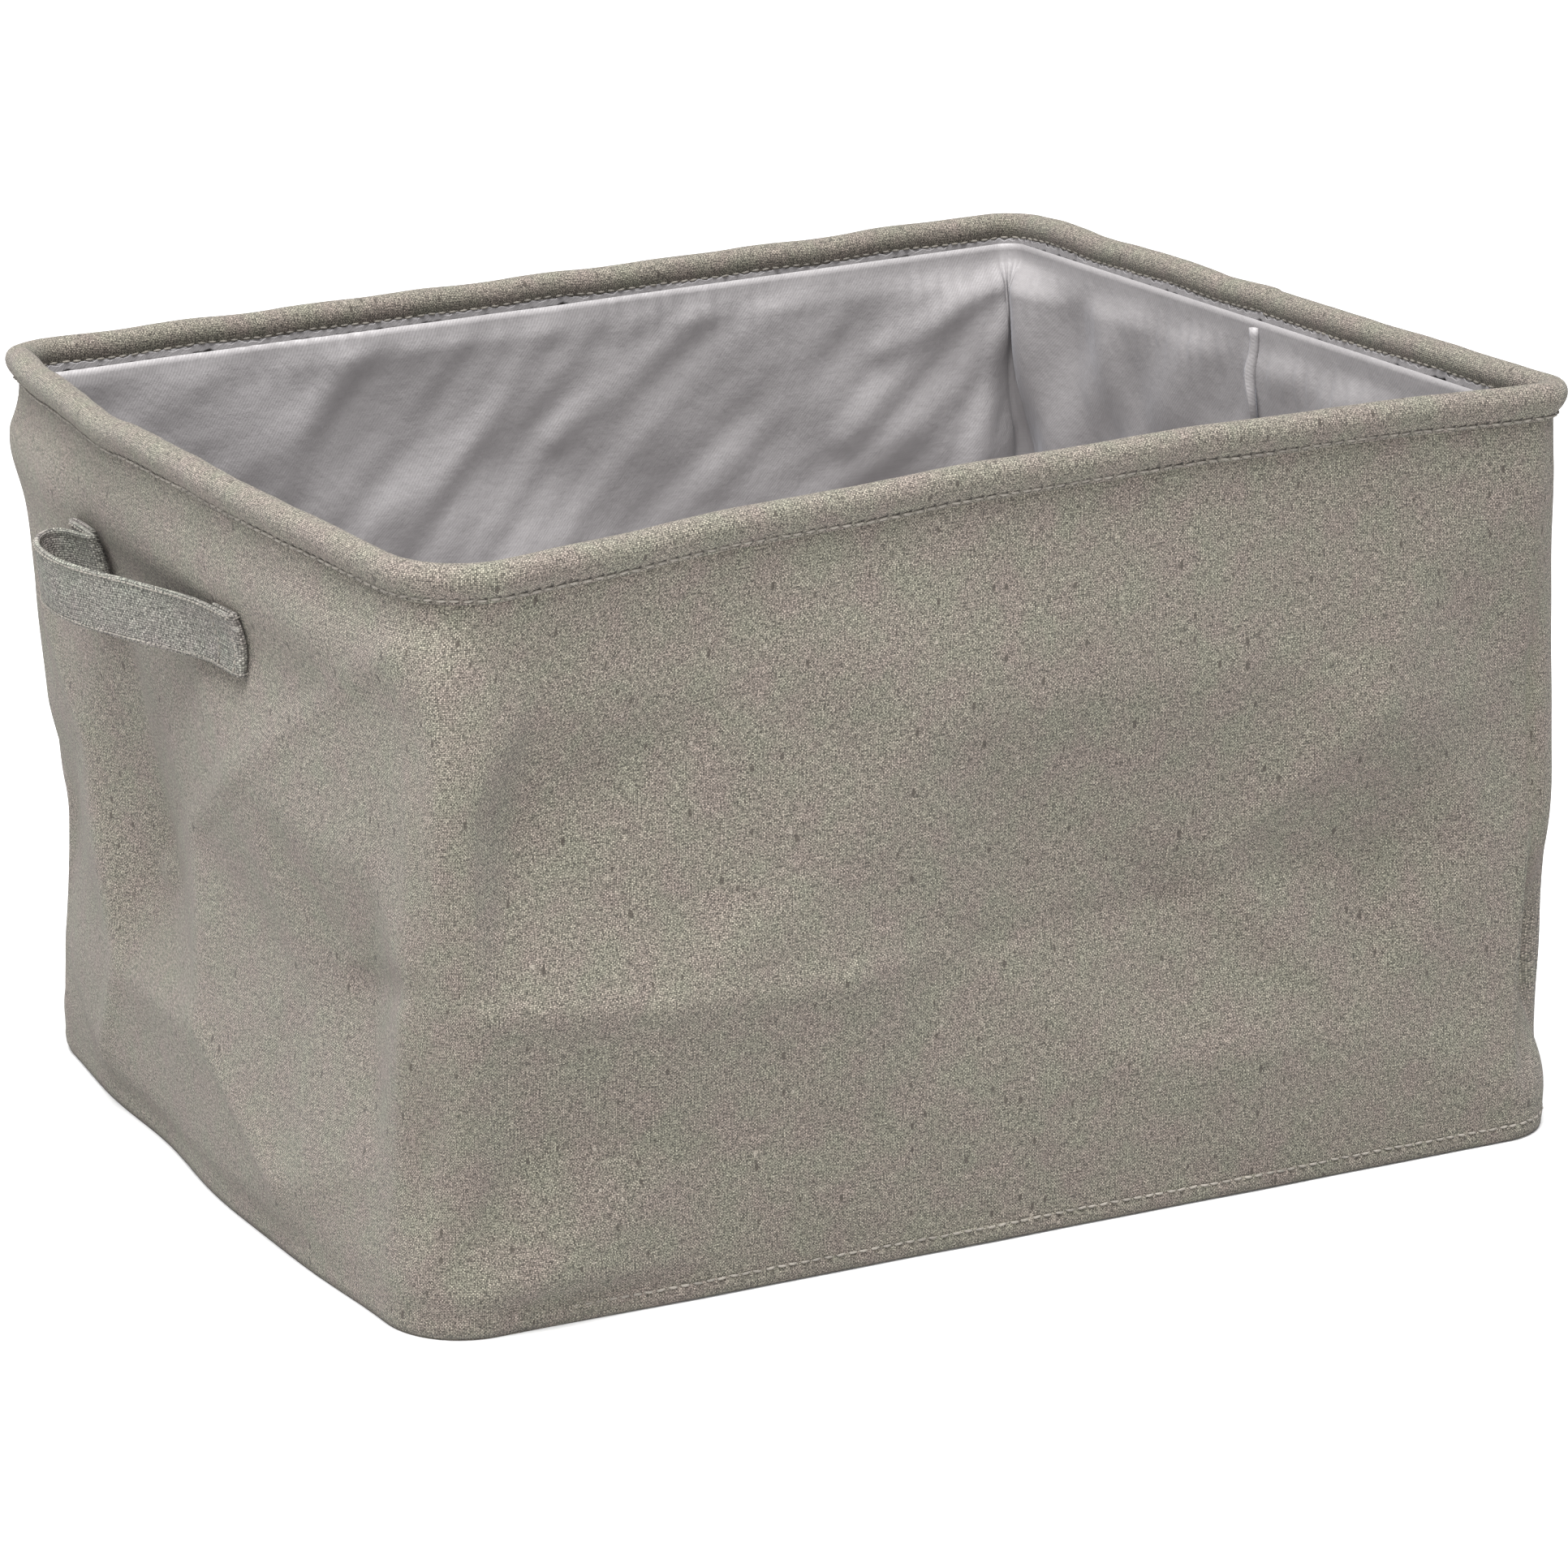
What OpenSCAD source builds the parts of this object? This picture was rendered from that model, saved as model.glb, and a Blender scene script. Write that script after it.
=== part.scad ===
// Soft fabric storage bin with a wire-stiffened rim and a strap handle on each short side.
// Millimetres. Origin: centre of the footprint on the floor. X runs along the long sides, Z is up.

/* [Bin] */
// Outside length of the canvas walls, along X
bin_l = 500; // [360:1:560]
// Outside width of the canvas walls, along Y
bin_w = 400; // [280:1:460]
// Height from the floor to the top of the rolled rim
bin_h = 300; // [240:1:360]
// Outside radius of the upright corners
corner_r = 40; // [25:1:60]

/* [Canvas] */
// Thickness of one ply of the outer canvas
canvas_t = 1.2; // [0.8:0.1:1.6]
// Width of the raised side seam on the outside
outer_seam_w = 3.2; // [2:0.2:6]
// How far the outside seam stands proud
outer_seam_t = 0.6; // [0.4:0.1:1]

/* [Lining] */
// Thickness of the satin lining
lining_t = 0.8; // [0.5:0.1:1.2]
// Air between the canvas and the lining
lining_gap = 0.6; // [0.4:0.1:2]
// Width of the lining's side seam allowance
lining_seam_w = 5; // [3:0.5:8]
// Thickness of the lining's side seam allowance
lining_seam_t = 1.2; // [0.8:0.1:2]

/* [Base] */
// Height of the stitched welt around the foot of the walls
welt_h = 8.8; // [6:0.2:12]
// Thickness of the welt across its plies
welt_t = 4.6; // [3.6:0.2:6]
// How far the welt stands out past the wall
welt_out = 2.2; // [1:0.2:3]
// Thickness of the stiff board in the base
board_t = 3; // [2:0.5:4]

/* [Rim] */
// Height of the hem, from its lower edge to the top of the roll
hem_h = 14; // [12:0.5:20]
// Thickness of the flat part of the hem
hem_t = 3.2; // [2.4:0.1:4]
// Outside diameter of the roll that holds the wire
roll_d = 9.6; // [8:0.2:12]
// Diameter of the rim wire
wire_d = 4; // [3:0.1:5]
// Thickness of the lining's folded top edge
fold_t = 1.4; // [1:0.1:2]
// Height of the lining's folded top edge
fold_h = 3.8; // [3:0.2:5]

/* [Handles] */
// Width of the handle strap
strap_w = 25; // [20:1:32]
// Thickness of the handle strap
strap_t = 2.4; // [1.8:0.1:3]
// Height of the strap's centre line above the floor
strap_z = 237.5; // [190:0.5:250]
// Length of each sewn end
tab_l = 27; // [20:1:35]
// Clear distance between the two sewn ends
tab_gap = 100; // [85:1:120]
// How far the loop stands out from the wall
loop_out = 30; // [25:1:36]

/* [Stitching] */
// Thickness of the sewing thread
thread_d = 0.6; // [0.4:0.1:0.8]
// Distance from one tack stitch to the next
tack_pitch = 3; // [2.5:0.1:4]
// Length of one tack stitch
tack_l = 2.2; // [1.6:0.1:2.4]
// Distance of the first tack row from the end of the strap
tack_in = 5; // [4:0.5:8]
// Distance between the two tack rows
tack_apart = 14; // [8:1:16]

/* [Clearances] */
// Space between pieces that move past each other
play = 0.3; // [0.3:0.05:0.6]
// Space between pieces that are sewn together
touch = 0.1; // [0.05:0.05:0.2]

/* [Hidden] */
half_l = bin_l / 2;
half_w = bin_w / 2;
// Inward offsets from the outside face of the walls
lining_in = canvas_t + lining_gap;
lining_face = lining_in + lining_t;
welt_in = welt_t - welt_out;
floor_in = welt_in + 2 * touch;
fold_in = hem_t + 2 * touch;
roll_in = 1.8;
// Heights
board_z = canvas_t + touch;
lining_z = board_z + board_t + touch;
wall_z = welt_h + touch;
hem_z = bin_h - hem_h;
wall_top = hem_z - play;
roll_z = bin_h - roll_d / 2;
bore_d = wire_d + 2 * play;
// Handle loop: an arc through both sewn ends
loop_x = half_l + play + touch;
loop_chord = tab_gap / 2 - play;
loop_sag = loop_out - play - touch;
loop_r = (loop_chord * loop_chord + loop_sag * loop_sag) / (2 * loop_sag);
tack_rows = floor((strap_w - tack_l) / tack_pitch);
$fn = 96;

// Flat outline of the bin, drawn in by the given distance.
module outline(inset) {
    r = corner_r - inset;
    x = half_l - inset;
    y = half_w - inset;
    square([2 * (x - r), 2 * y], center = true);
    square([2 * x, 2 * (y - r)], center = true);
    for (i = [-1, 1], j = [-1, 1])
        translate([i * (x - r), j * (y - r)])
            circle(r);
}

// Upright band that follows the outline between two insets.
module band(outer, inner, low, high) {
    translate([0, 0, low])
        linear_extrude(high - low)
            difference() {
                outline(outer);
                outline(inner);
            }
}

// Round bar or tube that follows the outline at the given inset.
module hoop(inset, z, d_out, d_in = 0) {
    r = corner_r - inset;
    x = half_l - inset;
    y = half_w - inset;
    for (i = [0, 1], j = [0, 1])
        mirror([i, 0, 0])
            mirror([0, j, 0])
                translate([x - r, y - r, z])
                    rotate_extrude(angle = 90)
                        translate([r, 0])
                            section(d_out, d_in);
    for (s = [-1, 1]) {
        translate([s * x, y - r, z])
            rotate([90, 0, 0])
                linear_extrude(2 * (y - r))
                    section(d_out, d_in);
        translate([r - x, s * y, z])
            rotate([90, 0, 90])
                linear_extrude(2 * (x - r))
                    section(d_out, d_in);
    }
}

module section(d_out, d_in) {
    difference() {
        circle(d = d_out);
        if (d_in > 0)
            circle(d = d_in);
    }
}

// Base: canvas panel, stiff board, lining tray and the stitched welt around them.
module outer_base() {
    color([0.58, 0.56, 0.52])
        linear_extrude(canvas_t)
            outline(welt_in + touch);
}

module base_board() {
    color([0.72, 0.62, 0.47])
        translate([0, 0, board_z])
            linear_extrude(board_t)
                outline(floor_in + lining_t + touch);
}

module lining_base() {
    color([0.6, 0.6, 0.61]) {
        translate([0, 0, lining_z])
            linear_extrude(lining_t)
                outline(floor_in);
        band(floor_in, floor_in + lining_t, lining_z, welt_h);
    }
}

module base_welt() {
    color([0.6, 0.58, 0.54])
        band(-welt_out, welt_in, 0, welt_h);
}

module base_stitching() {
    color([0.5, 0.48, 0.45])
        hoop(-welt_out - thread_d / 2 - touch / 2, welt_h - 1.2, thread_d);
}

// Walls: canvas outside, satin inside, each closed by one upright seam on the right side.
module outer_wall() {
    color([0.62, 0.6, 0.56])
        band(0, canvas_t, wall_z, wall_top);
}

module outer_side_seam() {
    color([0.58, 0.56, 0.52])
        translate([half_l + touch, -outer_seam_w / 2, wall_z])
            cube([outer_seam_t, outer_seam_w, wall_top - wall_z]);
}

module lining_wall() {
    color([0.6, 0.6, 0.61])
        band(lining_in, lining_face, wall_z, wall_top);
}

module lining_side_seam() {
    color([0.64, 0.64, 0.65])
        translate([half_l - lining_face - touch - lining_seam_t, -lining_seam_w / 2, wall_z])
            cube([lining_seam_t, lining_seam_w, wall_top - wall_z]);
}

// Rim: a hem with a rolled top around a wire hoop, closed by a row of stitches.
module rim_hem() {
    color([0.64, 0.62, 0.58])
        difference() {
            union() {
                band(0, hem_t, hem_z, roll_z);
                hoop(roll_in, roll_z, roll_d);
            }
            hoop(roll_in, roll_z, bore_d);
        }
}

module rim_wire() {
    color([0.7, 0.71, 0.72])
        hoop(roll_in, roll_z, wire_d);
}

module rim_stitching() {
    color([0.5, 0.48, 0.45])
        hoop(-thread_d / 2 - touch / 2, hem_z + 1, thread_d);
}

module lining_top_fold() {
    color([0.68, 0.68, 0.69])
        band(fold_in, fold_in + fold_t, hem_z + touch, hem_z + fold_h);
}

// Handle strap: two ends sewn flat to the wall and the loop between them.
// side is -1 for the left handle and 1 for the right one, end is -1 for the front and 1 for the back.
module tab(side, end) {
    translate([side * (half_l + play + strap_t / 2), end * (tab_gap + tab_l) / 2, strap_z])
        cube([strap_t, tab_l, strap_w], center = true);
}

module loop(side) {
    scale_x = side * (loop_x + loop_sag - loop_r);
    translate([0, 0, strap_z - strap_w / 2])
        linear_extrude(strap_w)
            intersection() {
                translate([scale_x, 0])
                    section(2 * loop_r, 2 * (loop_r - strap_t));
                translate([side * (loop_x + loop_sag / 2 + touch), 0])
                    square([loop_sag + 2 * touch, 2 * loop_chord], center = true);
            }
}

module tacks(side) {
    x = side * (half_l + play + strap_t + thread_d / 2 + touch / 2);
    first = strap_z - (tack_rows - 1) * tack_pitch / 2 - tack_l / 2;
    for (end = [-1, 1], row = [0, 1], k = [0 : tack_rows - 1])
        translate([x, end * (tab_gap / 2 + tab_l - tack_in - row * tack_apart), first + k * tack_pitch])
            cylinder(h = tack_l, d = thread_d);
}

module left_front_tab() {
    color([0.68, 0.66, 0.62])
        tab(-1, -1);
}

module left_back_tab() {
    color([0.68, 0.66, 0.62])
        tab(-1, 1);
}

module left_tab_stitching() {
    color([0.5, 0.48, 0.45])
        tacks(-1);
}

module left_strap_loop() {
    color([0.7, 0.68, 0.64])
        loop(-1);
}

module right_front_tab() {
    color([0.68, 0.66, 0.62])
        tab(1, -1);
}

module right_back_tab() {
    color([0.68, 0.66, 0.62])
        tab(1, 1);
}

module right_tab_stitching() {
    color([0.5, 0.48, 0.45])
        tacks(1);
}

module right_strap_loop() {
    color([0.7, 0.68, 0.64])
        loop(1);
}

outer_base();
base_board();
lining_base();
base_welt();
base_stitching();
outer_wall();
outer_side_seam();
lining_wall();
lining_side_seam();
rim_hem();
rim_wire();
rim_stitching();
lining_top_fold();
left_front_tab();
left_back_tab();
left_tab_stitching();
left_strap_loop();
right_front_tab();
right_back_tab();
right_tab_stitching();
right_strap_loop();
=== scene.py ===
"""Soft fabric storage bin: canvas walls, satin lining, wired rim and sewn strap handles."""
import math

import bpy
import numpy as np
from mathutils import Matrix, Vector
from mathutils.geometry import delaunay_2d_cdt


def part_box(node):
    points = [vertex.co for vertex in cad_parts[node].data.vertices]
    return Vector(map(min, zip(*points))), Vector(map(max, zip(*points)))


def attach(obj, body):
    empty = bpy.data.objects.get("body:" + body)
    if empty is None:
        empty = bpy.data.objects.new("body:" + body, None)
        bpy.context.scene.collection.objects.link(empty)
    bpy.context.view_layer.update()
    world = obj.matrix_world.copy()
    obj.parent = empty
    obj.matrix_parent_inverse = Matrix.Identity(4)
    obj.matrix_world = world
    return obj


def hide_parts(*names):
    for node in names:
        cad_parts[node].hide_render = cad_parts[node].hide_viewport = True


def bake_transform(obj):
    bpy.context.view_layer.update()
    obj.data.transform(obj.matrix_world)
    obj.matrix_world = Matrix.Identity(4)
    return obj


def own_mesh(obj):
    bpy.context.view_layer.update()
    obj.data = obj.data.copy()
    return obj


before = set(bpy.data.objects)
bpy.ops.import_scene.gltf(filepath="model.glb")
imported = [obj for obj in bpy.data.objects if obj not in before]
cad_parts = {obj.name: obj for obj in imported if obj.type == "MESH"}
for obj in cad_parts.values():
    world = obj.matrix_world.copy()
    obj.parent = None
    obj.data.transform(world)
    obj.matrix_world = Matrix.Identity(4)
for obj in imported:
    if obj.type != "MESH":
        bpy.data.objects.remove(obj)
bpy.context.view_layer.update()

bl_info = {
    "name": "Fabric Storage Bin",
    "version": (1, 0, 0),
    "blender": (4, 5, 0),
    "location": "View3D > Sidebar > Storage Bin",
    "description": "Builds a soft canvas storage bin with its lining, wired rim, handles and stitching",
    "category": "Object",
}

# Heights and depths that the frame settles, in metres.
WALL_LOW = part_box("outer_wall")[0].z
HEM_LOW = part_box("rim_hem")[0].z
RIM_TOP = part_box("rim_hem")[1].z
FLOOR_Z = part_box("lining_base")[0].z
BOARD_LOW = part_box("base_board")[0].z
BOARD_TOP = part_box("base_board")[1].z
WIRE_R = (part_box("rim_wire")[1].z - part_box("rim_wire")[0].z) / 2
WIRE_Z = (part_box("rim_wire")[1].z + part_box("rim_wire")[0].z) / 2
STRAP_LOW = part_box("left_strap_loop")[0].z
STRAP_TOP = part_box("left_strap_loop")[1].z
STRAP_Z = (STRAP_LOW + STRAP_TOP) / 2

# Mesh steps along a long side, a short side and a corner.
LONG_STEPS = 120
SHORT_STEPS = 96
CORNER_STEPS = 16
WALL_ROWS = 110
LINING_ROWS = 64

# How much finer than those steps the canvas wall and the rim pieces are.
WALL_FINE = 1.5
RIM_FINE = 2.0

# How the layers of cloth lap and clear one another, in metres.
SKIRT_DROP = np.array([0.0080, 0.0055, 0.0028])
SKIRT_TUCK = np.array([0.0012, 0.0001, -0.0002])
HEM_LAP = 0.006
HEM_TUCK = 0.0016
LINING_CLEAR = 0.0016
LINING_TUCK = 0.0048
LINING_LAP = 0.0020
WIRE_INSET = 0.0018
PANEL_INSET = 0.0030
BOARD_INSET = 0.0050
FLOOR_INSET = 0.0028
SEWN_STANDOFF = 0.00015

# The short stitches of the straps.
STRAP_STITCH = 0.0021
TACK_PITCH = 0.0029

made = {}


class BinShape(bpy.types.PropertyGroup):
    """Sizes of the cloth as it stands, in metres."""

    rim_half_l: bpy.props.FloatProperty(
        name="Rim half length", description="Half the length across the rim",
        default=0.2390, unit="LENGTH")
    rim_half_w: bpy.props.FloatProperty(
        name="Rim half width", description="Half the width across the rim",
        default=0.213, unit="LENGTH")
    rim_corner: bpy.props.FloatProperty(
        name="Rim corner radius", description="Radius of the rim's corners in plan",
        default=0.030, unit="LENGTH")
    foot_half_l: bpy.props.FloatProperty(
        name="Foot half length", description="Half the length at the foot of the walls",
        default=0.2530, unit="LENGTH")
    foot_half_w: bpy.props.FloatProperty(
        name="Foot half width", description="Half the width at the foot of the walls",
        default=0.2015, unit="LENGTH")
    foot_corner: bpy.props.FloatProperty(
        name="Foot corner radius", description="Radius of the foot's corners in plan",
        default=0.032, unit="LENGTH")
    fold_corner: bpy.props.FloatProperty(
        name="Folded corner radius", description="Radius of the walls' corners half way up",
        default=0.016, unit="LENGTH")
    left_bow: bpy.props.FloatProperty(
        name="Left bow", description="How far the rim bows out on the left side",
        default=0.025, unit="LENGTH")
    rim_tilt: bpy.props.FloatProperty(
        name="Rim tilt", description="Rise of the rim at the right side and drop at the left",
        default=0.0075, unit="LENGTH")
    canvas_thick: bpy.props.FloatProperty(
        name="Canvas thickness", description="Thickness of the outer canvas",
        default=0.0012, unit="LENGTH")
    lining_thick: bpy.props.FloatProperty(
        name="Lining thickness", description="Thickness of the satin lining",
        default=0.0006, unit="LENGTH")
    strap_thick: bpy.props.FloatProperty(
        name="Strap thickness", description="Thickness of the doubled handle strap",
        default=0.0022, unit="LENGTH")
    stitch_pitch: bpy.props.FloatProperty(
        name="Stitch pitch", description="Distance from one stitch to the next",
        default=0.0050, unit="LENGTH")
    stitch_radius: bpy.props.FloatProperty(
        name="Thread radius", description="Half the thickness of the sewing thread",
        default=0.00058, unit="LENGTH")
    yarn_pitch: bpy.props.FloatProperty(
        name="Canvas yarn pitch", description="Distance between neighbouring yarns of the canvas",
        default=0.00064, unit="LENGTH")
    strap_yarn_pitch: bpy.props.FloatProperty(
        name="Strap yarn pitch", description="Distance between neighbouring yarns of the strap",
        default=0.00095, unit="LENGTH")


class BinColours(bpy.types.PropertyGroup):
    """Colours of the cloths and hard parts."""

    canvas: bpy.props.FloatVectorProperty(
        name="Canvas", description="Middle tone of the canvas yarns", subtype="COLOR",
        default=(0.166, 0.149, 0.127))
    strap: bpy.props.FloatVectorProperty(
        name="Strap", description="Middle tone of the strap yarns", subtype="COLOR",
        default=(0.196, 0.187, 0.170))
    lining: bpy.props.FloatVectorProperty(
        name="Lining", description="Tone of the satin lining", subtype="COLOR",
        default=(0.275, 0.262, 0.264))
    thread: bpy.props.FloatVectorProperty(
        name="Thread", description="Tone of the sewing thread", subtype="COLOR",
        default=(0.186, 0.170, 0.148))
    fleck: bpy.props.FloatVectorProperty(
        name="Fleck", description="Dark husks spun into the canvas", subtype="COLOR",
        default=(0.050, 0.042, 0.034))
    board: bpy.props.FloatVectorProperty(
        name="Board", description="Pressed board in the base", subtype="COLOR",
        default=(0.300, 0.200, 0.110))
    ground: bpy.props.FloatVectorProperty(
        name="Ground", description="Pale studio floor", subtype="COLOR",
        default=(0.60, 0.60, 0.60))


# ---------------------------------------------------------------- outlines

def steps_at(fine):
    """Mesh steps along a long side, half a short side and a corner, at that fineness."""
    return (int(round(n * fine)) for n in (LONG_STEPS, SHORT_STEPS / 2, CORNER_STEPS))


def outline(half_x, half_y, radii, fine=1.0):
    """Rounded rectangle, anticlockwise from the middle of the right side: points and outward normals.

    The radii are of the back right, back left, front left and front right corners."""
    br, bl, fl, fr = radii
    x, y = half_x, half_y
    long_side, short_half, corner = steps_at(fine)
    points, normals = [], []

    def side(start, end, out, steps):
        """A straight run that faces out, without its last point."""
        for t in np.arange(steps) / steps:
            points.append(np.array(start) * (1 - t) + np.array(end) * t)
            normals.append(out)

    def bend(centre, start, radius):
        """A quarter turn from the start angle in degrees, without its last point."""
        for t in np.arange(corner) / corner:
            turn = math.radians(start + 90 * t)
            out = (math.cos(turn), math.sin(turn))
            points.append(np.array(centre) + radius * np.array(out))
            normals.append(out)

    side((x, 0), (x, y - br), (1, 0), short_half)
    bend((x - br, y - br), 0, br)
    side((x - br, y), (-x + bl, y), (0, 1), long_side)
    bend((-x + bl, y - bl), 90, bl)
    side((-x, y - bl), (-x, -y + fl), (-1, 0), 2 * short_half)
    bend((-x + fl, -y + fl), 180, fl)
    side((-x + fl, -y), (x - fr, -y), (0, -1), long_side)
    bend((x - fr, -y + fr), 270, fr)
    side((x, -y + fr), (x, 0), (1, 0), short_half)
    return np.array(points), np.array(normals, float)


def rim_ring(shape, fine=1.0, radii=None):
    """The rim's outer top edge in space, bowed and tilted as the wire holds it."""
    radii = rim_radii(shape) if radii is None else radii
    flat, out = outline(shape.rim_half_l, shape.rim_half_w, radii, fine)
    across = flat[:, 0] / shape.rim_half_l
    along = flat[:, 1] / shape.rim_half_w
    front = np.clip(-along, 0, 1) * np.clip(1 - across ** 2, 0, 1)
    left = np.clip(-across, 0, 1) * np.clip(1 - along ** 2, 0, 1)
    ring = np.zeros((len(flat), 3))
    ring[:, 0] = flat[:, 0] - 0.0042 - shape.left_bow * left
    ring[:, 1] = flat[:, 1] + 0.003 + 0.0027 * front
    lift = shape.rim_tilt * across - 0.001 * along - 0.002 * across * along
    dip = -0.0022 * np.clip(-across, 0, 1) ** 4 * np.exp(-((along - 0.25) / 0.16) ** 2)
    lift -= 0.0014 * np.clip(along, 0, 1) * (1 - 0.9 * np.clip(across, 0, 1))
    ring[:, 2] = RIM_TOP + lift + 0.0069 * front + 0.0081 * left + dip
    return ring, out


def foot_ring(shape, fine=1.0, radii=None):
    """The foot of the walls: the left side is a little wavy and draws in towards the back."""
    radii = foot_radii(shape) if radii is None else radii
    flat, out = outline(shape.foot_half_l, shape.foot_half_w, radii, fine)
    along = flat[:, 1] / shape.foot_half_w
    left = np.clip(-out[:, 0], 0, 1)
    wave = 0.0058 * np.exp(-((along + 0.27) / 0.33) ** 2) + 0.0008 * np.sin(11.5 * along + 2.0)
    wave -= 0.0090 * np.clip(along, 0, 1) ** 3
    ring = np.zeros((len(flat), 3))
    ring[:, :2] = flat + out * (left * wave)[:, None]
    ring[:, 2] = WALL_LOW
    return ring, out


def foot_radii(shape):
    """The foot's corner radii; the two left corners are pressed rounder than the right ones."""
    return [shape.foot_corner * 0.6, shape.foot_corner * 1.2, shape.foot_corner, shape.foot_corner * 0.9]


def rim_radii(shape):
    """The rim's corner radii; the wire bends more tightly at every corner but the front left."""
    return [shape.rim_corner * 0.6, shape.rim_corner * 0.5, shape.rim_corner, shape.rim_corner * 0.5]


def corner_radii(shape, t):
    """The wall's corner radii at height t; half way up, packing folds sharpen all but the back left."""
    marks = (0.0, 0.38, 0.72, 1.0)
    sharp = [shape.fold_corner * share for share in (1.0, 2.9, 1.0, 1.0)]
    ends = zip(foot_radii(shape), sharp, rim_radii(shape))
    return [float(np.interp(t, marks, (low, mid, mid, high))) for low, mid, high in ends]


def lengths(ring):
    """Distance run along a closed ring at each point, and its whole length."""
    steps = np.linalg.norm(np.roll(ring, -1, axis=0) - ring, axis=1)
    return np.concatenate([[0], np.cumsum(steps)[:-1]]), float(steps.sum())


def bearing(rim_out, foot_out, t):
    """Outward direction on the wall at height t from the foot to the rim."""
    out = foot_out * (1 - t) + rim_out * t
    return out / np.linalg.norm(out, axis=-1, keepdims=True)


def level(out):
    """Plan directions as directions in space."""
    return np.hstack([out, np.zeros((len(out), 1))])


# ---------------------------------------------------------------- folds

def ripples(a, b, seed, shortest, longest, count=9):
    """Smooth seeded undulation over a surface, about -1 to 1."""
    chance = np.random.default_rng(seed)
    total = np.zeros(np.broadcast(a, b).shape)
    for _ in range(count):
        turn = chance.uniform(0, math.pi)
        size = chance.uniform(shortest, longest)
        phase = chance.uniform(0, 2 * math.pi)
        total += np.sin(2 * math.pi * (a * math.cos(turn) + b * math.sin(turn)) / size + phase)
    return total / math.sqrt(count)


def crease(a, b, start, end, width, soft=0.004):
    """1 on the line from start to end, falling to 0 at width beside it and past its ends."""
    run = np.subtract(end, start)
    span = float(run @ run)
    t = ((a - start[0]) * run[0] + (b - start[1]) * run[1]) / span
    held = np.clip(t, 0, 1)
    gap = np.hypot(a - start[0] - held * run[0], b - start[1] - held * run[1])
    gap = np.sqrt(gap ** 2 + soft ** 2) - soft
    fade = np.clip(1 - gap / width, 0, 1)
    return fade * fade * (3 - 2 * fade) * 0.4 + fade * 0.6


def dent(a, b, centre, width, height):
    """A soft round hollow or swelling, 1 at its centre."""
    return np.exp(-((a - centre[0]) / width) ** 2 - ((b - centre[1]) / height) ** 2)


# Where the folded canvas stands out from a straight wall, in mm: (place along, height, distance out).
FRONT_FOLDS = (
    (-250, 9, 0), (-120, 9, 0), (0, 9, 0), (120, 9, 0), (250, 9, 0),
    (-250, 286, 0), (-120, 286, 0), (0, 286, 0), (120, 286, 0), (250, 286, 0),
    (-238, 262, 0), (-236, 204, 3), (-230, 128, 4), (-212, 195, -4.5), (-205, 245, -2),
    (-157, 121, 5.5), (-82, 119, 4.5), (-37, 122, 1), (66, 125, -4.5), (158, 132, -4.5), (210, 128, -2),
    (-169, 150, 1.5), (-92, 164, 3.5), (-48, 208, 4), (10, 262, 1.5), (4, 170, -0.5), (40, 218, 3),
    (83, 139, -2.5), (152, 191, 4), (119, 215, 2.5), (190, 165, -1), (228, 190, -4), (225, 60, -2),
    (-150, 60, 0.5), (-60, 55, 1), (60, 62, 1.5), (150, 60, 1), (-205, 20, 3), (-165, 50, 1.5),
    (-205, 70, -2), (170, 245, 1), (-120, 235, 0))
LEFT_FOLDS = (
    (-200, 9, 0), (-100, 9, 0), (0, 9, 0), (100, 9, 0), (200, 9, 0),
    (-210, 286, 0), (-100, 286, 0), (0, 286, 0), (100, 286, 0), (210, 286, 0),
    (45, 114, -7), (-12, 150, -1.5), (-70, 187, 2.2), (-150, 236, 0.5), (-188, 262, 0),
    (100, 160, 2), (154, 204, 2), (-25, 72, 3), (-92, 32, 2), (72, 68, 3), (97, 25, 2),
    (-110, 112, -2), (-150, 124, -4), (-198, 140, 3), (-172, 172, 1.5), (150, 112, -3),
    (-10, 238, -1.2), (-80, 238, -1.5), (60, 225, -1.8), (-170, 60, 1), (165, 50, 0), (185, 150, 0))


def folded(side, a, b, strength=1.0):
    """Height of a folded panel, flat between its marked points, at places a along and b up, in metres."""
    marks = np.array(side, float) / 1000
    flat, _, facets, *_ = delaunay_2d_cdt([Vector(m[:2]) for m in marks], [], [], 0, 0.0001)
    heights = [marks[np.argmin(np.hypot(*(marks[:, :2] - (p.x, p.y)).T)), 2] for p in flat]
    total = np.zeros(a.shape)
    for i, j, k in facets:
        p, q, r = flat[i], flat[j], flat[k]
        whole = (q.x - p.x) * (r.y - p.y) - (r.x - p.x) * (q.y - p.y)
        u = ((a - p.x) * (r.y - p.y) - (r.x - p.x) * (b - p.y)) / whole
        v = ((q.x - p.x) * (b - p.y) - (a - p.x) * (q.y - p.y)) / whole
        inside = (u >= -1e-9) & (v >= -1e-9) & (u + v <= 1 + 1e-9)
        value = heights[i] + u * (heights[j] - heights[i]) + v * (heights[k] - heights[i])
        total = np.where(inside, value, total)
    return total * strength


def softened(field, times):
    """The field with its sharp lines rounded a little, closing on itself round the bin."""
    for _ in range(times):
        field = (np.roll(field, 1, 1) + 2 * field + np.roll(field, -1, 1)) / 4
        field[1:-1] = (field[:-2] + 2 * field[1:-1] + field[2:]) / 4
    return field


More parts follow.
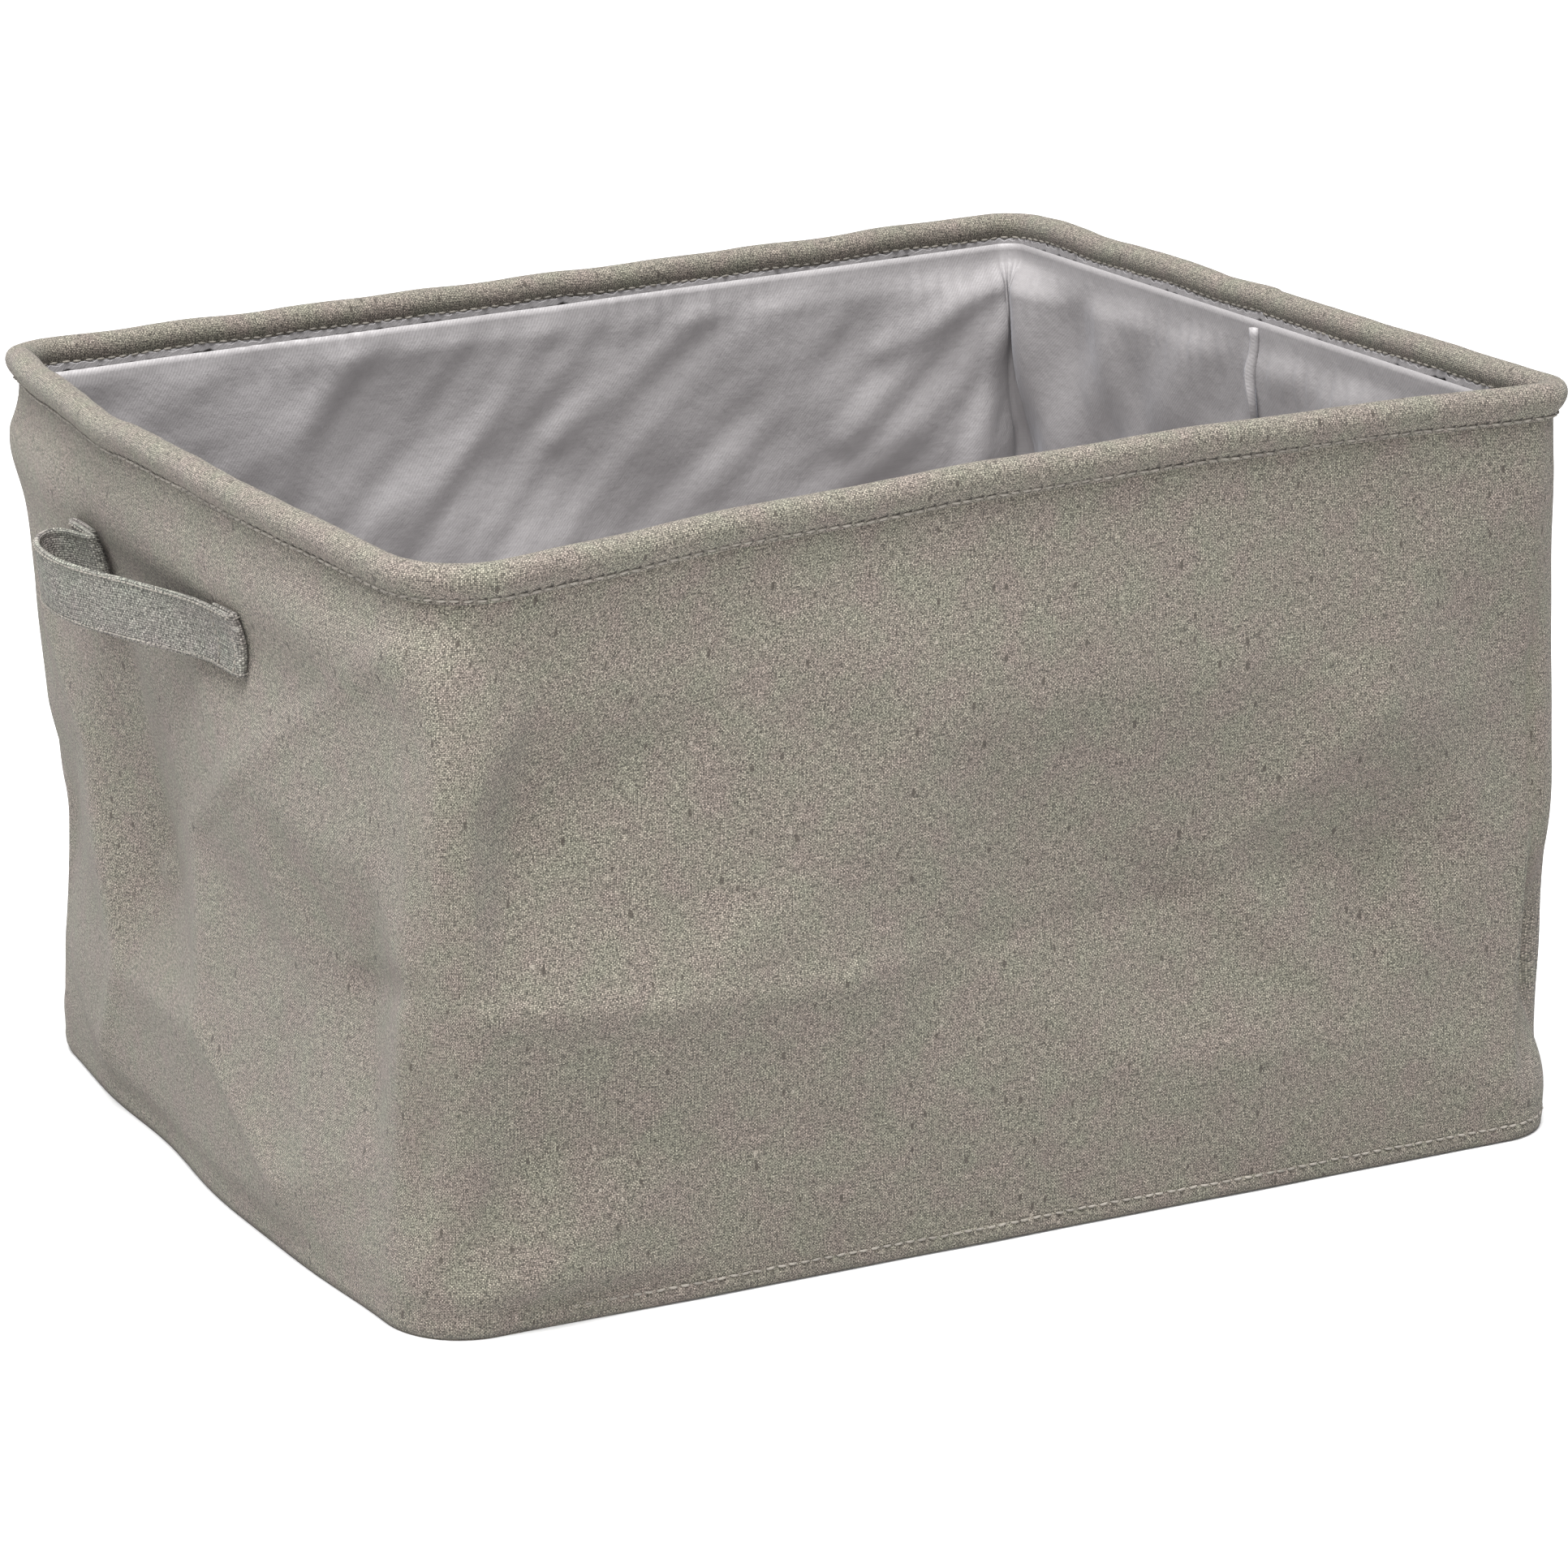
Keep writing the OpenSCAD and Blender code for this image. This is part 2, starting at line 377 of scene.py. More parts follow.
def canvas_relief(point, out, run, corner_run, times):
    """How far the canvas stands out from a straight wall: packing folds, corner ridge and dents."""
    x, y, z = point[..., 0], point[..., 1], point[..., 2]
    front = np.clip(-out[..., 1], 0, 1) ** 2
    left = np.clip(-out[..., 0], 0, 1) ** 2
    back = np.clip(out[..., 1], 0, 1) ** 2
    right = np.clip(out[..., 0], 0, 1) ** 2
    relief = front * folded(FRONT_FOLDS, x, z, 2.3) + left * folded(LEFT_FOLDS, y, z, 2.4)
    relief += back * folded(FRONT_FOLDS, -x, z, 1.2) + right * folded(LEFT_FOLDS, -y, z, 1.1)
    relief = softened(relief, times)
    loose = np.sin(math.pi * np.clip((z - WALL_LOW) / (HEM_LOW - WALL_LOW), 0, 1)) ** 0.7
    relief += 0.0009 * loose * ripples(run, z, 11, 0.11, 0.30)
    relief += 0.00028 * loose * ripples(run, z, 12, 0.03, 0.07, 14)
    for start, end, rise in (
            ((-0.232, 0.128), (-0.157, 0.121), 0.0014), ((-0.157, 0.121), (-0.082, 0.119), 0.0014),
            ((-0.082, 0.119), (-0.037, 0.122), 0.0009), ((-0.020, 0.122), (0.066, 0.125), -0.0010),
            ((0.066, 0.125), (0.158, 0.132), -0.0010), ((0.083, 0.139), (0.152, 0.191), 0.0008)):
        relief += front * rise * crease(x, z, start, end, 0.008, 0.001)
    for end in ((-0.188, 0.262), (0.154, 0.204), (-0.092, 0.032), (0.097, 0.025)):
        relief += left * 0.0013 * crease(y, z, (0.045, 0.114), end, 0.009, 0.001)
    relief -= left * 0.0014 * crease(y, z, (-0.196, 0.137), (-0.140, 0.123), 0.009, 0.001)
    relief -= front * 0.0012 * dent(x, z, (0.031, 0.051), 0.018, 0.009)

    # The ridge that wanders beside the front left corner.
    drift = 0.007 * np.exp(-((z - 0.150) / 0.06) ** 2)
    ridge = np.clip(1 - np.abs(run - corner_run - drift) / 0.014, 0, 1)
    relief += 0.0022 * ridge * np.clip((z - 0.085) / 0.05, 0, 1) * np.clip((0.283 - z) / 0.03, 0, 1)

    # Every corner draws in above the foot and flares out again at it.
    corner = 4 * (out[..., 0] * out[..., 1]) ** 2
    relief += 0.0052 * left * np.exp(-((z - 0.257) / 0.017) ** 2)
    shoulder = 0.6 * front * np.clip((0.10 - x) / 0.25, 0, 1)
    relief += 0.0062 * shoulder * np.exp(-((z - 0.238) / 0.026) ** 2)
    far_left = np.clip(-4 * out[..., 0] * out[..., 1], 0, 1)
    relief -= 0.0040 * (corner + 3.0 * far_left + 0.25 * left) * np.exp(-((z - 0.072) / 0.034) ** 2)
    relief += 0.0018 * (corner + 0.5 * left) * np.exp(-((z - 0.024) / 0.016) ** 2)
    return relief


def lining_relief(point, out, run):
    """How far the loose lining hangs away from the canvas, towards the inside."""
    x, y, z = point[..., 0], point[..., 1], point[..., 2]
    front = np.clip(-out[..., 1], 0, 1) ** 2
    left = np.clip(-out[..., 0], 0, 1) ** 2
    back = np.clip(out[..., 1], 0, 1) ** 2
    right = np.clip(out[..., 0], 0, 1) ** 2
    loose = np.clip((HEM_LOW - z) / 0.012, 0, 1) * np.clip((z - WALL_LOW) / 0.03, 0, 1)
    hang = 0.0026 + 0.0009 * ripples(run, z, 21, 0.05, 0.16, 12)

    # Slanting drapes on the back wall, fading downwards, with fine ones gathered under the rim.
    slant = 0.66 * x - 0.75 * z + 0.008 * np.sin(x / 0.045 + 1.0)
    hang += back * 0.0006 * np.sin(2 * math.pi * slant / 0.071 + 0.8)
    hang += back * 0.0005 * np.sin(2 * math.pi * slant / 0.037 + 2.0 * np.sin(z / 0.05))
    hang += back * 0.00022 * np.sin(2 * math.pi * slant / 0.019 + 3.0 * np.sin(x / 0.06))
    for start, end, width, rise in (
            ((-0.100, 0.268), (-0.150, 0.190), 0.010, 0.0020),
            ((0.010, 0.262), (-0.075, 0.205), 0.012, 0.0022),
            ((0.070, 0.276), (0.000, 0.228), 0.009, 0.0022),
            ((0.135, 0.262), (0.075, 0.200), 0.010, 0.0018),
            ((0.196, 0.268), (0.140, 0.212), 0.010, 0.0030),
            ((0.222, 0.280), (0.160, 0.250), 0.008, 0.0030),
            ((0.224, 0.262), (0.200, 0.190), 0.009, 0.0034)):
        hang += back * 0.6 * rise * crease(x, z, start, end, width, 0.0015)

    # The wide lifted fold on the right wall, by the far corner.
    hang += right * 0.0080 * crease(y, z, (0.197, 0.285), (0.150, 0.120), 0.030)
    hang += right * 0.0020 * crease(y, z, (0.130, 0.270), (0.095, 0.200), 0.014)
    hang += right * 0.0012 * np.sin(2 * math.pi * (0.8 * y + 0.6 * z) / 0.048)
    hang += (front + left) * 0.0016 * np.sin(2 * math.pi * (0.7 * run + 0.7 * z) / 0.061)
    pucker = np.exp(-((HEM_LOW - z) / 0.017) ** 2) * (0.6 + 0.4 * np.sin(run / 0.027))
    hang += pucker * 0.0012 * np.sin(2 * math.pi * run / 0.0068 + 2 * np.sin(run / 0.03))
    return np.clip(hang, 0.0006, 0.022) * loose


# ---------------------------------------------------------------- meshes

def cloth_normals(grid, wrap):
    """Outward direction at each point of a grid of rows (up) and columns (round)."""
    if wrap:
        round_ = np.roll(grid, -1, axis=1) - np.roll(grid, 1, axis=1)
    else:
        round_ = np.gradient(grid, axis=1)
    up = np.gradient(grid, axis=0)
    out = np.cross(round_, up)
    return out / np.maximum(np.linalg.norm(out, axis=2, keepdims=True), 1e-12)


def cloth_mesh(name, grid, u, v, thick, wrap=True, u_end=None):
    """A closed sheet of that thickness over a grid of rows and columns, with its flat pattern as UVs."""
    rows, cols = grid.shape[:2]
    half = cloth_normals(grid, wrap) * thick / 2
    verts = np.concatenate([(grid + half).reshape(-1, 3), (grid - half).reshape(-1, 3)])
    inner = rows * cols
    spans = cols if wrap else cols - 1
    i, j = np.meshgrid(np.arange(rows - 1), np.arange(spans), indexing="ij")
    i, j = i.ravel(), j.ravel()
    k = (j + 1) % cols
    face = np.stack([i * cols + j, i * cols + k, (i + 1) * cols + k, (i + 1) * cols + j], axis=1)
    where = np.stack([np.stack([i, i, i + 1, i + 1], 1), np.stack([j, j + 1, j + 1, j], 1)], axis=2)
    faces = [face, face[:, ::-1] + inner]
    places = [where, where[:, ::-1]]
    j = np.arange(spans)
    k = (j + 1) % cols
    low, top = 0 * j, 0 * j + rows - 1
    faces.append(np.stack([j, j + inner, k + inner, k], 1))
    places.append(np.stack([np.stack([low] * 4, 1), np.stack([j, j, j + 1, j + 1], 1)], 2))
    base = (rows - 1) * cols
    faces.append(np.stack([base + j, base + k, base + k + inner, base + j + inner], 1))
    places.append(np.stack([np.stack([top] * 4, 1), np.stack([j, j + 1, j + 1, j], 1)], 2))
    if not wrap:
        i = np.arange(rows - 1)
        first, last = 0 * i, 0 * i + cols - 1
        a, b = i * cols, (i + 1) * cols
        faces.append(np.stack([a, b, b + inner, a + inner], 1))
        places.append(np.stack([np.stack([i, i + 1, i + 1, i], 1), np.stack([first] * 4, 1)], 2))
        a, b = a + cols - 1, b + cols - 1
        faces.append(np.stack([a, a + inner, b + inner, b], 1))
        places.append(np.stack([np.stack([i, i, i + 1, i + 1], 1), np.stack([last] * 4, 1)], 2))
    faces = np.concatenate(faces)
    places = np.concatenate(places)
    u = np.append(u, u_end) if wrap else u
    uv = np.stack([u[places[..., 1]], v[places[..., 0]]], axis=-1)
    return new_piece(name, verts, faces, uv.reshape(-1, 2))


def ring_mesh(name, grid, u, v, u_end, v_end):
    """A closed bar round the bin: rows run round its section, columns run round the bin."""
    rows, cols = grid.shape[:2]
    i, j = (g.ravel() for g in np.meshgrid(np.arange(rows), np.arange(cols), indexing="ij"))
    i2, j2 = (i + 1) % rows, (j + 1) % cols
    faces = np.stack([i * cols + j, i * cols + j2, i2 * cols + j2, i2 * cols + j], axis=1)
    u, v = np.append(u, u_end), np.append(v, v_end)
    uv = np.stack([np.stack([u[j], u[j + 1], u[j + 1], u[j]], 1),
                   np.stack([v[i], v[i], v[i + 1], v[i + 1]], 1)], axis=-1)
    return new_piece(name, grid.reshape(-1, 3), faces, uv.reshape(-1, 2))


def new_piece(name, verts, faces, uv=None, smooth=True):
    """A mesh object from arrays of points and faces."""
    mesh = bpy.data.meshes.new(name)
    mesh.from_pydata([tuple(p) for p in verts], [], [tuple(int(n) for n in f) for f in faces])
    if uv is not None:
        layer = mesh.uv_layers.new(name="pattern")
        layer.data.foreach_set("uv", np.asarray(uv, np.float32).ravel())
    mesh.polygons.foreach_set("use_smooth", [smooth] * len(mesh.polygons))
    mesh.update()
    piece = bpy.data.objects.new(name, mesh)
    bpy.context.scene.collection.objects.link(piece)
    return piece


def curve_through(points, count):
    """Evenly spaced points on a smooth curve through the given ones."""
    points = np.asarray(points, float)
    ends = np.vstack([2 * points[0] - points[1], points, 2 * points[-1] - points[-2]])
    dense = []
    for k in range(1, len(ends) - 2):
        for t in np.arange(16) / 16:
            a, b, c, d = ends[k - 1], ends[k], ends[k + 1], ends[k + 2]
            dense.append(0.5 * (2 * b + (c - a) * t + (2 * a - 5 * b + 4 * c - d) * t ** 2
                                + (3 * b - a - 3 * c + d) * t ** 3))
    dense.append(points[-1])
    dense = np.array(dense)
    run = np.concatenate([[0], np.cumsum(np.linalg.norm(np.diff(dense, axis=0), axis=1))])
    even = np.linspace(0, run[-1], count)
    return np.stack([np.interp(even, run, dense[:, k]) for k in range(dense.shape[1])], 1), even


def stitches(name, places, ways, outs, length, radius):
    """A row of short threads, each lying along its way and bedded in the cloth."""
    # Along the stitch: (share of its length, share of the radius, rise in radii).
    stations = ((-0.5, 0.30, -0.7), (-0.36, 0.85, 0.1), (0.0, 1.0, 0.35),
                (0.36, 0.85, 0.1), (0.5, 0.30, -0.7))
    sides = 6
    verts, faces = [], []
    for place, way, out in zip(places, ways, outs):
        across = np.cross(way, out)
        first = len(verts)
        for along, size, rise in stations:
            centre = place + way * along * length + out * rise * radius
            for k in range(sides):
                turn = 2 * math.pi * k / sides
                verts.append(centre + radius * size * (across * math.cos(turn) + out * math.sin(turn)))
        for s in range(len(stations) - 1):
            for k in range(sides):
                a, b = first + s * sides + k, first + s * sides + (k + 1) % sides
                faces.append((a, b, b + sides, a + sides))
        faces.append(tuple(first + k for k in reversed(range(sides))))
        faces.append(tuple(first + (len(stations) - 1) * sides + k for k in range(sides)))
    return new_piece(name, verts, faces)


def ring_stitches(name, ring, outs, shape, seed, wander=0.0003):
    """A row of stitches that follows a closed ring at the stitch pitch."""
    run, whole = lengths(ring)
    count = int(whole / shape.stitch_pitch)
    chance = np.random.default_rng(seed)
    at = (np.arange(count) + 0.5 + chance.uniform(-0.08, 0.08, count)) * whole / count
    closed = np.vstack([ring, ring[:1]])
    closed_out = np.vstack([outs, outs[:1]])
    run = np.append(run, whole)

    def sample(values, where):
        """The values at those distances round the ring."""
        return np.stack([np.interp(where % whole, run, values[:, k]) for k in range(3)], 1)

    places = sample(closed, at)
    ways = sample(closed, at + 0.001) - sample(closed, at - 0.001)
    ways[:, 2] += chance.uniform(-0.12, 0.12, count) * 0.002
    ways /= np.linalg.norm(ways, axis=1, keepdims=True)
    normals = sample(closed_out, at)
    normals /= np.linalg.norm(normals, axis=1, keepdims=True)
    places[:, 2] += wander * np.sin(at / 0.021) + chance.uniform(-0.00012, 0.00012, count)
    return stitches(name, places, ways, normals, 0.74 * shape.stitch_pitch, shape.stitch_radius)


# ---------------------------------------------------------------- materials

def node(tree, kind, inputs=(), **settings):
    """A shader node with its settings and inputs; an input is a number, a colour or another socket."""
    item = tree.nodes.new(kind)
    for key, value in settings.items():
        setattr(item, key, value)
    for key, value in dict(inputs).items():
        if isinstance(value, bpy.types.NodeSocket):
            tree.links.new(value, item.inputs[key])
        else:
            item.inputs[key].default_value = value
    return item


def maths(tree, operation, *values, clamp=False):
    """The output of a maths node on those values."""
    return node(tree, "ShaderNodeMath", enumerate(values), operation=operation, use_clamp=clamp).outputs[0]


def blended(tree, factor, first, second, how="MIX"):
    """Two colours mixed by a factor."""
    mix = node(tree, "ShaderNodeMix", data_type="RGBA", blend_type=how)
    for socket, value in ((mix.inputs[0], factor), (mix.inputs[6], first), (mix.inputs[7], second)):
        if isinstance(value, bpy.types.NodeSocket):
            tree.links.new(value, socket)
        else:
            socket.default_value = value
    return mix.outputs[2]


def shade(colour, amount):
    """The colour made lighter or darker, with full alpha."""
    return tuple(min(1.0, c * amount) for c in colour) + (1.0,)


def scaled(tree, value, by, plus, clamp=False):
    """The value times one number plus another."""
    return maths(tree, "ADD", maths(tree, "MULTIPLY", value, by), plus, clamp=clamp)


def ramped(tree, value, *stops):
    """The colour that the value picks from the stops, each (place, colour)."""
    ramp = node(tree, "ShaderNodeValToRGB", {0: value})
    while len(ramp.color_ramp.elements) < len(stops):
        ramp.color_ramp.elements.new(0.5)
    for stop, (place, colour) in zip(ramp.color_ramp.elements, stops):
        stop.position = place
        stop.color = colour
    return ramp.outputs[0]


def dimmed(tree, paint, amount):
    """The colour times a grey."""
    grey = node(tree, "ShaderNodeCombineColor", {0: amount, 1: amount, 2: amount}).outputs[0]
    return blended(tree, 1.0, paint, grey, "MULTIPLY")


def grain(tree, scale, detail):
    """Noise fixed to the piece itself."""
    spot = node(tree, "ShaderNodeTexCoord").outputs["Object"]
    return node(tree, "ShaderNodeTexNoise",
                {"Vector": spot, "Scale": scale, "Detail": detail}).outputs["Fac"]


def stretched(tree, u, v, across, up, detail=2.0, offset=0.0):
    """Noise whose grain is across by up yarns long."""
    a = maths(tree, "MULTIPLY", u, 1 / across)
    b = maths(tree, "MULTIPLY", v, 1 / up)
    spot = node(tree, "ShaderNodeCombineXYZ", {0: a, 1: b, 2: offset}).outputs[0]
    return node(tree, "ShaderNodeTexNoise",
                {"Vector": spot, "Scale": 1.0, "Detail": detail, "Roughness": 0.6}).outputs["Fac"]


def blank(name):
    """A new material with a principled shader: (material, tree, shader)."""
    material = bpy.data.materials.new(name)
    material.use_nodes = True
    tree = material.node_tree
    tree.nodes.clear()
    shader = node(tree, "ShaderNodeBsdfPrincipled")
    output = node(tree, "ShaderNodeOutputMaterial")
    tree.links.new(shader.outputs[0], output.inputs[0])
    return material, tree, shader


def woven(name, colour, fleck, pitch, relief, specks, seam=None):
    """Plain-weave cloth on the flat pattern: crossing yarns with painted shade between them, slubs, husks
    and soft mottling.

    seam is (height of a sewn line on the pattern, stitch pitch), where the needle leaves small pits; painted
    shade darkens the pits and a soft groove along the line."""
    material, tree, shader = blank(name)
    pattern = node(tree, "ShaderNodeUVMap", uv_map="pattern").outputs[0]
    pattern_xyz = node(tree, "ShaderNodeSeparateXYZ", {0: pattern})
    u = maths(tree, "DIVIDE", pattern_xyz.outputs[0], pitch)
    v = maths(tree, "DIVIDE", pattern_xyz.outputs[1], pitch)
    drift_u = stretched(tree, u, v, 30, 60, 2, 3.1)
    drift_v = stretched(tree, u, v, 60, 30, 2, 8.7)
    u = maths(tree, "ADD", u, maths(tree, "MULTIPLY", drift_u, 5.0))
    v = maths(tree, "ADD", v, maths(tree, "MULTIPLY", drift_v, 5.0))
    wave_u = maths(tree, "SINE", maths(tree, "MULTIPLY", u, math.pi))
    wave_v = maths(tree, "SINE", maths(tree, "MULTIPLY", v, math.pi))
    cross = maths(tree, "MULTIPLY", wave_u, wave_v)
    over = scaled(tree, cross, 1.6, 0.5, clamp=True)

    warp = stretched(tree, u, v, 1.1, 5, 1, 0.0)
    weft = stretched(tree, u, v, 5, 1.1, 1, 5.0)
    yarn = node(tree, "ShaderNodeMix", {0: over, 2: weft, 3: warp}).outputs[0]
    slub = stretched(tree, u, v, 1.1, 1.2, 1, 12.0)
    tone = maths(tree, "ADD", maths(tree, "MULTIPLY", yarn, 0.5), maths(tree, "MULTIPLY", slub, 0.5))
    tone = scaled(tree, tone, 2.3, -0.65)
    paint = ramped(tree, tone, (0.26, shade(colour, 0.36)), (0.42, shade(colour, 0.78)),
                   (0.55, shade(colour, 1.08)), (0.76, shade(colour, 1.85)))
    # Painted shade and light in the weave: darker where the yarns dip between their crossings, lighter where
    # the upright yarns lie on top.
    rise = maths(tree, "POWER", maths(tree, "ABSOLUTE", cross), 0.6)
    lit = scaled(tree, over, 0.40, 0.80)
    paint = dimmed(tree, paint, maths(tree, "MULTIPLY", scaled(tree, rise, 0.82, 0.47), lit))

    # Faint green and pink mottling, as in yarn spun from mixed fibres.
    patch = stretched(tree, u, v, 26, 30, 4, 20.0)
    tint = ramped(tree, patch, (0.36, (0.935, 1.0, 0.92, 1)), (0.64, (1.0, 0.935, 0.945, 1)))
    paint = blended(tree, 0.9, paint, tint, "MULTIPLY")
    broad = stretched(tree, u, v, 110, 90, 2, 31.0)
    paint = dimmed(tree, paint, scaled(tree, broad, 0.16, 0.92))

    # Dark husks and pale nubs, scattered and of uneven size.
    def scattered(size, long, least, offset):
        """Upright spots, size yarns apart across and long times that up; least is the share left out."""
        a = maths(tree, "ADD", maths(tree, "DIVIDE", u, size), maths(tree, "MULTIPLY", slub, 0.16))
        b = maths(tree, "ADD", maths(tree, "DIVIDE", v, size * long), maths(tree, "MULTIPLY", yarn, 0.10))
        spot = node(tree, "ShaderNodeCombineXYZ", {0: a, 1: b, 2: offset}).outputs[0]
        cells = node(tree, "ShaderNodeTexVoronoi", {"Vector": spot, "Scale": 1.0}, voronoi_dimensions="2D")
        luck = node(tree, "ShaderNodeSeparateColor", {0: cells.outputs["Color"]}).outputs[0]
        reach = maths(tree, "MULTIPLY", maths(tree, "SUBTRACT", luck, least, clamp=True), 0.75)
        inside = maths(tree, "SUBTRACT", reach, cells.outputs["Distance"])
        return maths(tree, "MULTIPLY", inside, 22.0, clamp=True)

    ragged = stretched(tree, u, v, 1.4, 3.2, 1, 44.0)
    husk = maths(tree, "MULTIPLY", maths(tree, "SUBTRACT", ragged, 0.69), 22.0, clamp=True)
    large = scattered(9.0, 2.1, 0.78, 0.0)
    husk = maths(tree, "MULTIPLY", maths(tree, "MAXIMUM", husk, large), specks * 0.85, clamp=True)
    nub = scattered(12.0, 1.2, 0.86, 4.0)
    paint = blended(tree, maths(tree, "MULTIPLY", nub, 0.7), paint, shade(colour, 1.9))
    paint = blended(tree, husk, paint, shade(fleck, 1.0))

    if seam:
        line, step = seam
        # Painted shade: a darker band along the sewn line for the shade in its groove, and dark dashes for
        # the shade in the needle pits between stitches.
        beside = maths(tree, "ABSOLUTE", maths(tree, "SUBTRACT", pattern_xyz.outputs[1], line))
        near = maths(tree, "SUBTRACT", 1.0, maths(tree, "DIVIDE", beside, 0.0019), clamp=True)
        beat = maths(tree, "COSINE", maths(tree, "MULTIPLY", pattern_xyz.outputs[0], 2 * math.pi / step))
        hole = maths(tree, "SUBTRACT", beat, 0.55, clamp=True)
        pit = maths(tree, "MULTIPLY", maths(tree, "MULTIPLY", hole, near), 6.0, clamp=True)
        wide = maths(tree, "SUBTRACT", 1.0, maths(tree, "DIVIDE", beside, 0.0014), clamp=True)
        paint = blended(tree, maths(tree, "MULTIPLY", wide, 0.34), paint, shade(colour, 0.45))
        paint = blended(tree, pit, paint, shade(fleck, 0.7))

    height = maths(tree, "ADD", rise, maths(tree, "MULTIPLY", tone, 1.4))
    bump = node(tree, "ShaderNodeBump", {"Strength": relief, "Distance": pitch * 0.6, "Height": height})
    tree.links.new(paint, shader.inputs["Base Color"])
    tree.links.new(bump.outputs[0], shader.inputs["Normal"])
    tree.links.new(scaled(tree, slub, 0.16, 0.80), shader.inputs["Roughness"])
    shader.inputs["Specular IOR Level"].default_value = 0.22
    shader.inputs["Sheen Weight"].default_value = 0.10
    shader.inputs["Sheen Roughness"].default_value = 0.55
    return material


def satin(name, colour):
    """Thin satin with a fine rib, faint creases and a soft sheen."""
    material, tree, shader = blank(name)
    pattern = node(tree, "ShaderNodeUVMap", uv_map="pattern").outputs[0]
    place = node(tree, "ShaderNodeSeparateXYZ", {0: pattern})
    u = maths(tree, "DIVIDE", place.outputs[0], 0.0005)
    v = maths(tree, "DIVIDE", place.outputs[1], 0.0005)
    rib = maths(tree, "SINE", maths(tree, "MULTIPLY", maths(tree, "ADD", u, v), 2.1))
    strands = stretched(tree, u, v, 40, 1.6, 3, 2.0)
    cloud = stretched(tree, u, v, 150, 110, 3, 9.0)
    crumple = stretched(tree, u, v, 16, 22, 4, 14.0)
    paint = ramped(tree, cloud, (0.33, shade(colour, 0.93)), (0.68, shade(colour, 1.07)))
    paint = dimmed(tree, paint, scaled(tree, strands, 0.22, 0.89))
    fine = node(tree, "ShaderNodeBump", {"Strength": 0.10, "Distance": 0.0002, "Height": rib})
    soft = node(tree, "ShaderNodeBump",
                {"Strength": 0.34, "Distance": 0.0022, "Height": crumple, "Normal": fine.outputs[0]})
    tree.links.new(paint, shader.inputs["Base Color"])
    tree.links.new(soft.outputs[0], shader.inputs["Normal"])
    tree.links.new(scaled(tree, strands, 0.12, 0.40), shader.inputs["Roughness"])
    shader.inputs["Specular IOR Level"].default_value = 0.42
    shader.inputs["Sheen Weight"].default_value = 0.18
    shader.inputs["Sheen Roughness"].default_value = 0.35
    shader.inputs["Sheen Tint"].default_value = (0.86, 0.90, 1.0, 1)
    return material


def spun_thread(name, colour):
    """Matt twisted thread."""
    material, tree, shader = blank(name)
    twist = grain(tree, 2600.0, 2.0)
    along = grain(tree, 90.0, 2.0)
    both = maths(tree, "ADD", maths(tree, "MULTIPLY", twist, 0.5), maths(tree, "MULTIPLY", along, 0.5))
    paint = ramped(tree, both, (0.35, shade(colour, 0.65)), (0.65, shade(colour, 1.5)))
    bump = node(tree, "ShaderNodeBump", {"Strength": 0.4, "Distance": 0.0001, "Height": twist})
    tree.links.new(paint, shader.inputs["Base Color"])
    tree.links.new(bump.outputs[0], shader.inputs["Normal"])
    shader.inputs["Roughness"].default_value = 0.75
    return material


def pressed_board(name, colour):
    """Pressed fibre board."""
    material, tree, shader = blank(name)
    fibres = grain(tree, 420.0, 5.0)
    paint = ramped(tree, fibres, (0.3, shade(colour, 0.75)), (0.7, shade(colour, 1.25)))
    bump = node(tree, "ShaderNodeBump", {"Strength": 0.3, "Distance": 0.0003, "Height": fibres})
    tree.links.new(paint, shader.inputs["Base Color"])
    tree.links.new(bump.outputs[0], shader.inputs["Normal"])
    shader.inputs["Roughness"].default_value = 0.85
    return material


def drawn_wire(name):
    """Bright drawn steel of uneven polish."""
    material, tree, shader = blank(name)
    scratch = grain(tree, 700.0, 4.0)
    paint = ramped(tree, scratch, (0.0, (0.40, 0.41, 0.42, 1)), (1.0, (0.68, 0.69, 0.70, 1)))
    tree.links.new(paint, shader.inputs["Base Color"])
    tree.links.new(scaled(tree, scratch, 0.3, 0.2), shader.inputs["Roughness"])
    shader.inputs["Metallic"].default_value = 1.0
    return material


def finish(piece, material, slot, *nodes):
    """Gives a piece its material and hides the nodes that it stands for; slot is not used."""
    piece.data.materials.append(material)
    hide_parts(*nodes)
    return piece


def canvas():
    """The canvas of the walls, base and welt, made once."""
    if "canvas" not in made:
        shape, colours = bpy.context.scene.bin_shape, bpy.context.scene.bin_colours
        made["canvas"] = woven("linen_canvas", colours.canvas, colours.fleck, shape.yarn_pitch, 0.55, 1.0)
    return made["canvas"]


def thread():
    """The sewing thread, made once."""
    if "thread" not in made:
        made["thread"] = spun_thread("sewing_thread", bpy.context.scene.bin_colours.thread)
    return made["thread"]


def lining_cloth():
    """The satin of the lining, made once."""
    if "lining" not in made:
        made["lining"] = satin("satin_lining", bpy.context.scene.bin_colours.lining)
    return made["lining"]


# ---------------------------------------------------------------- pieces

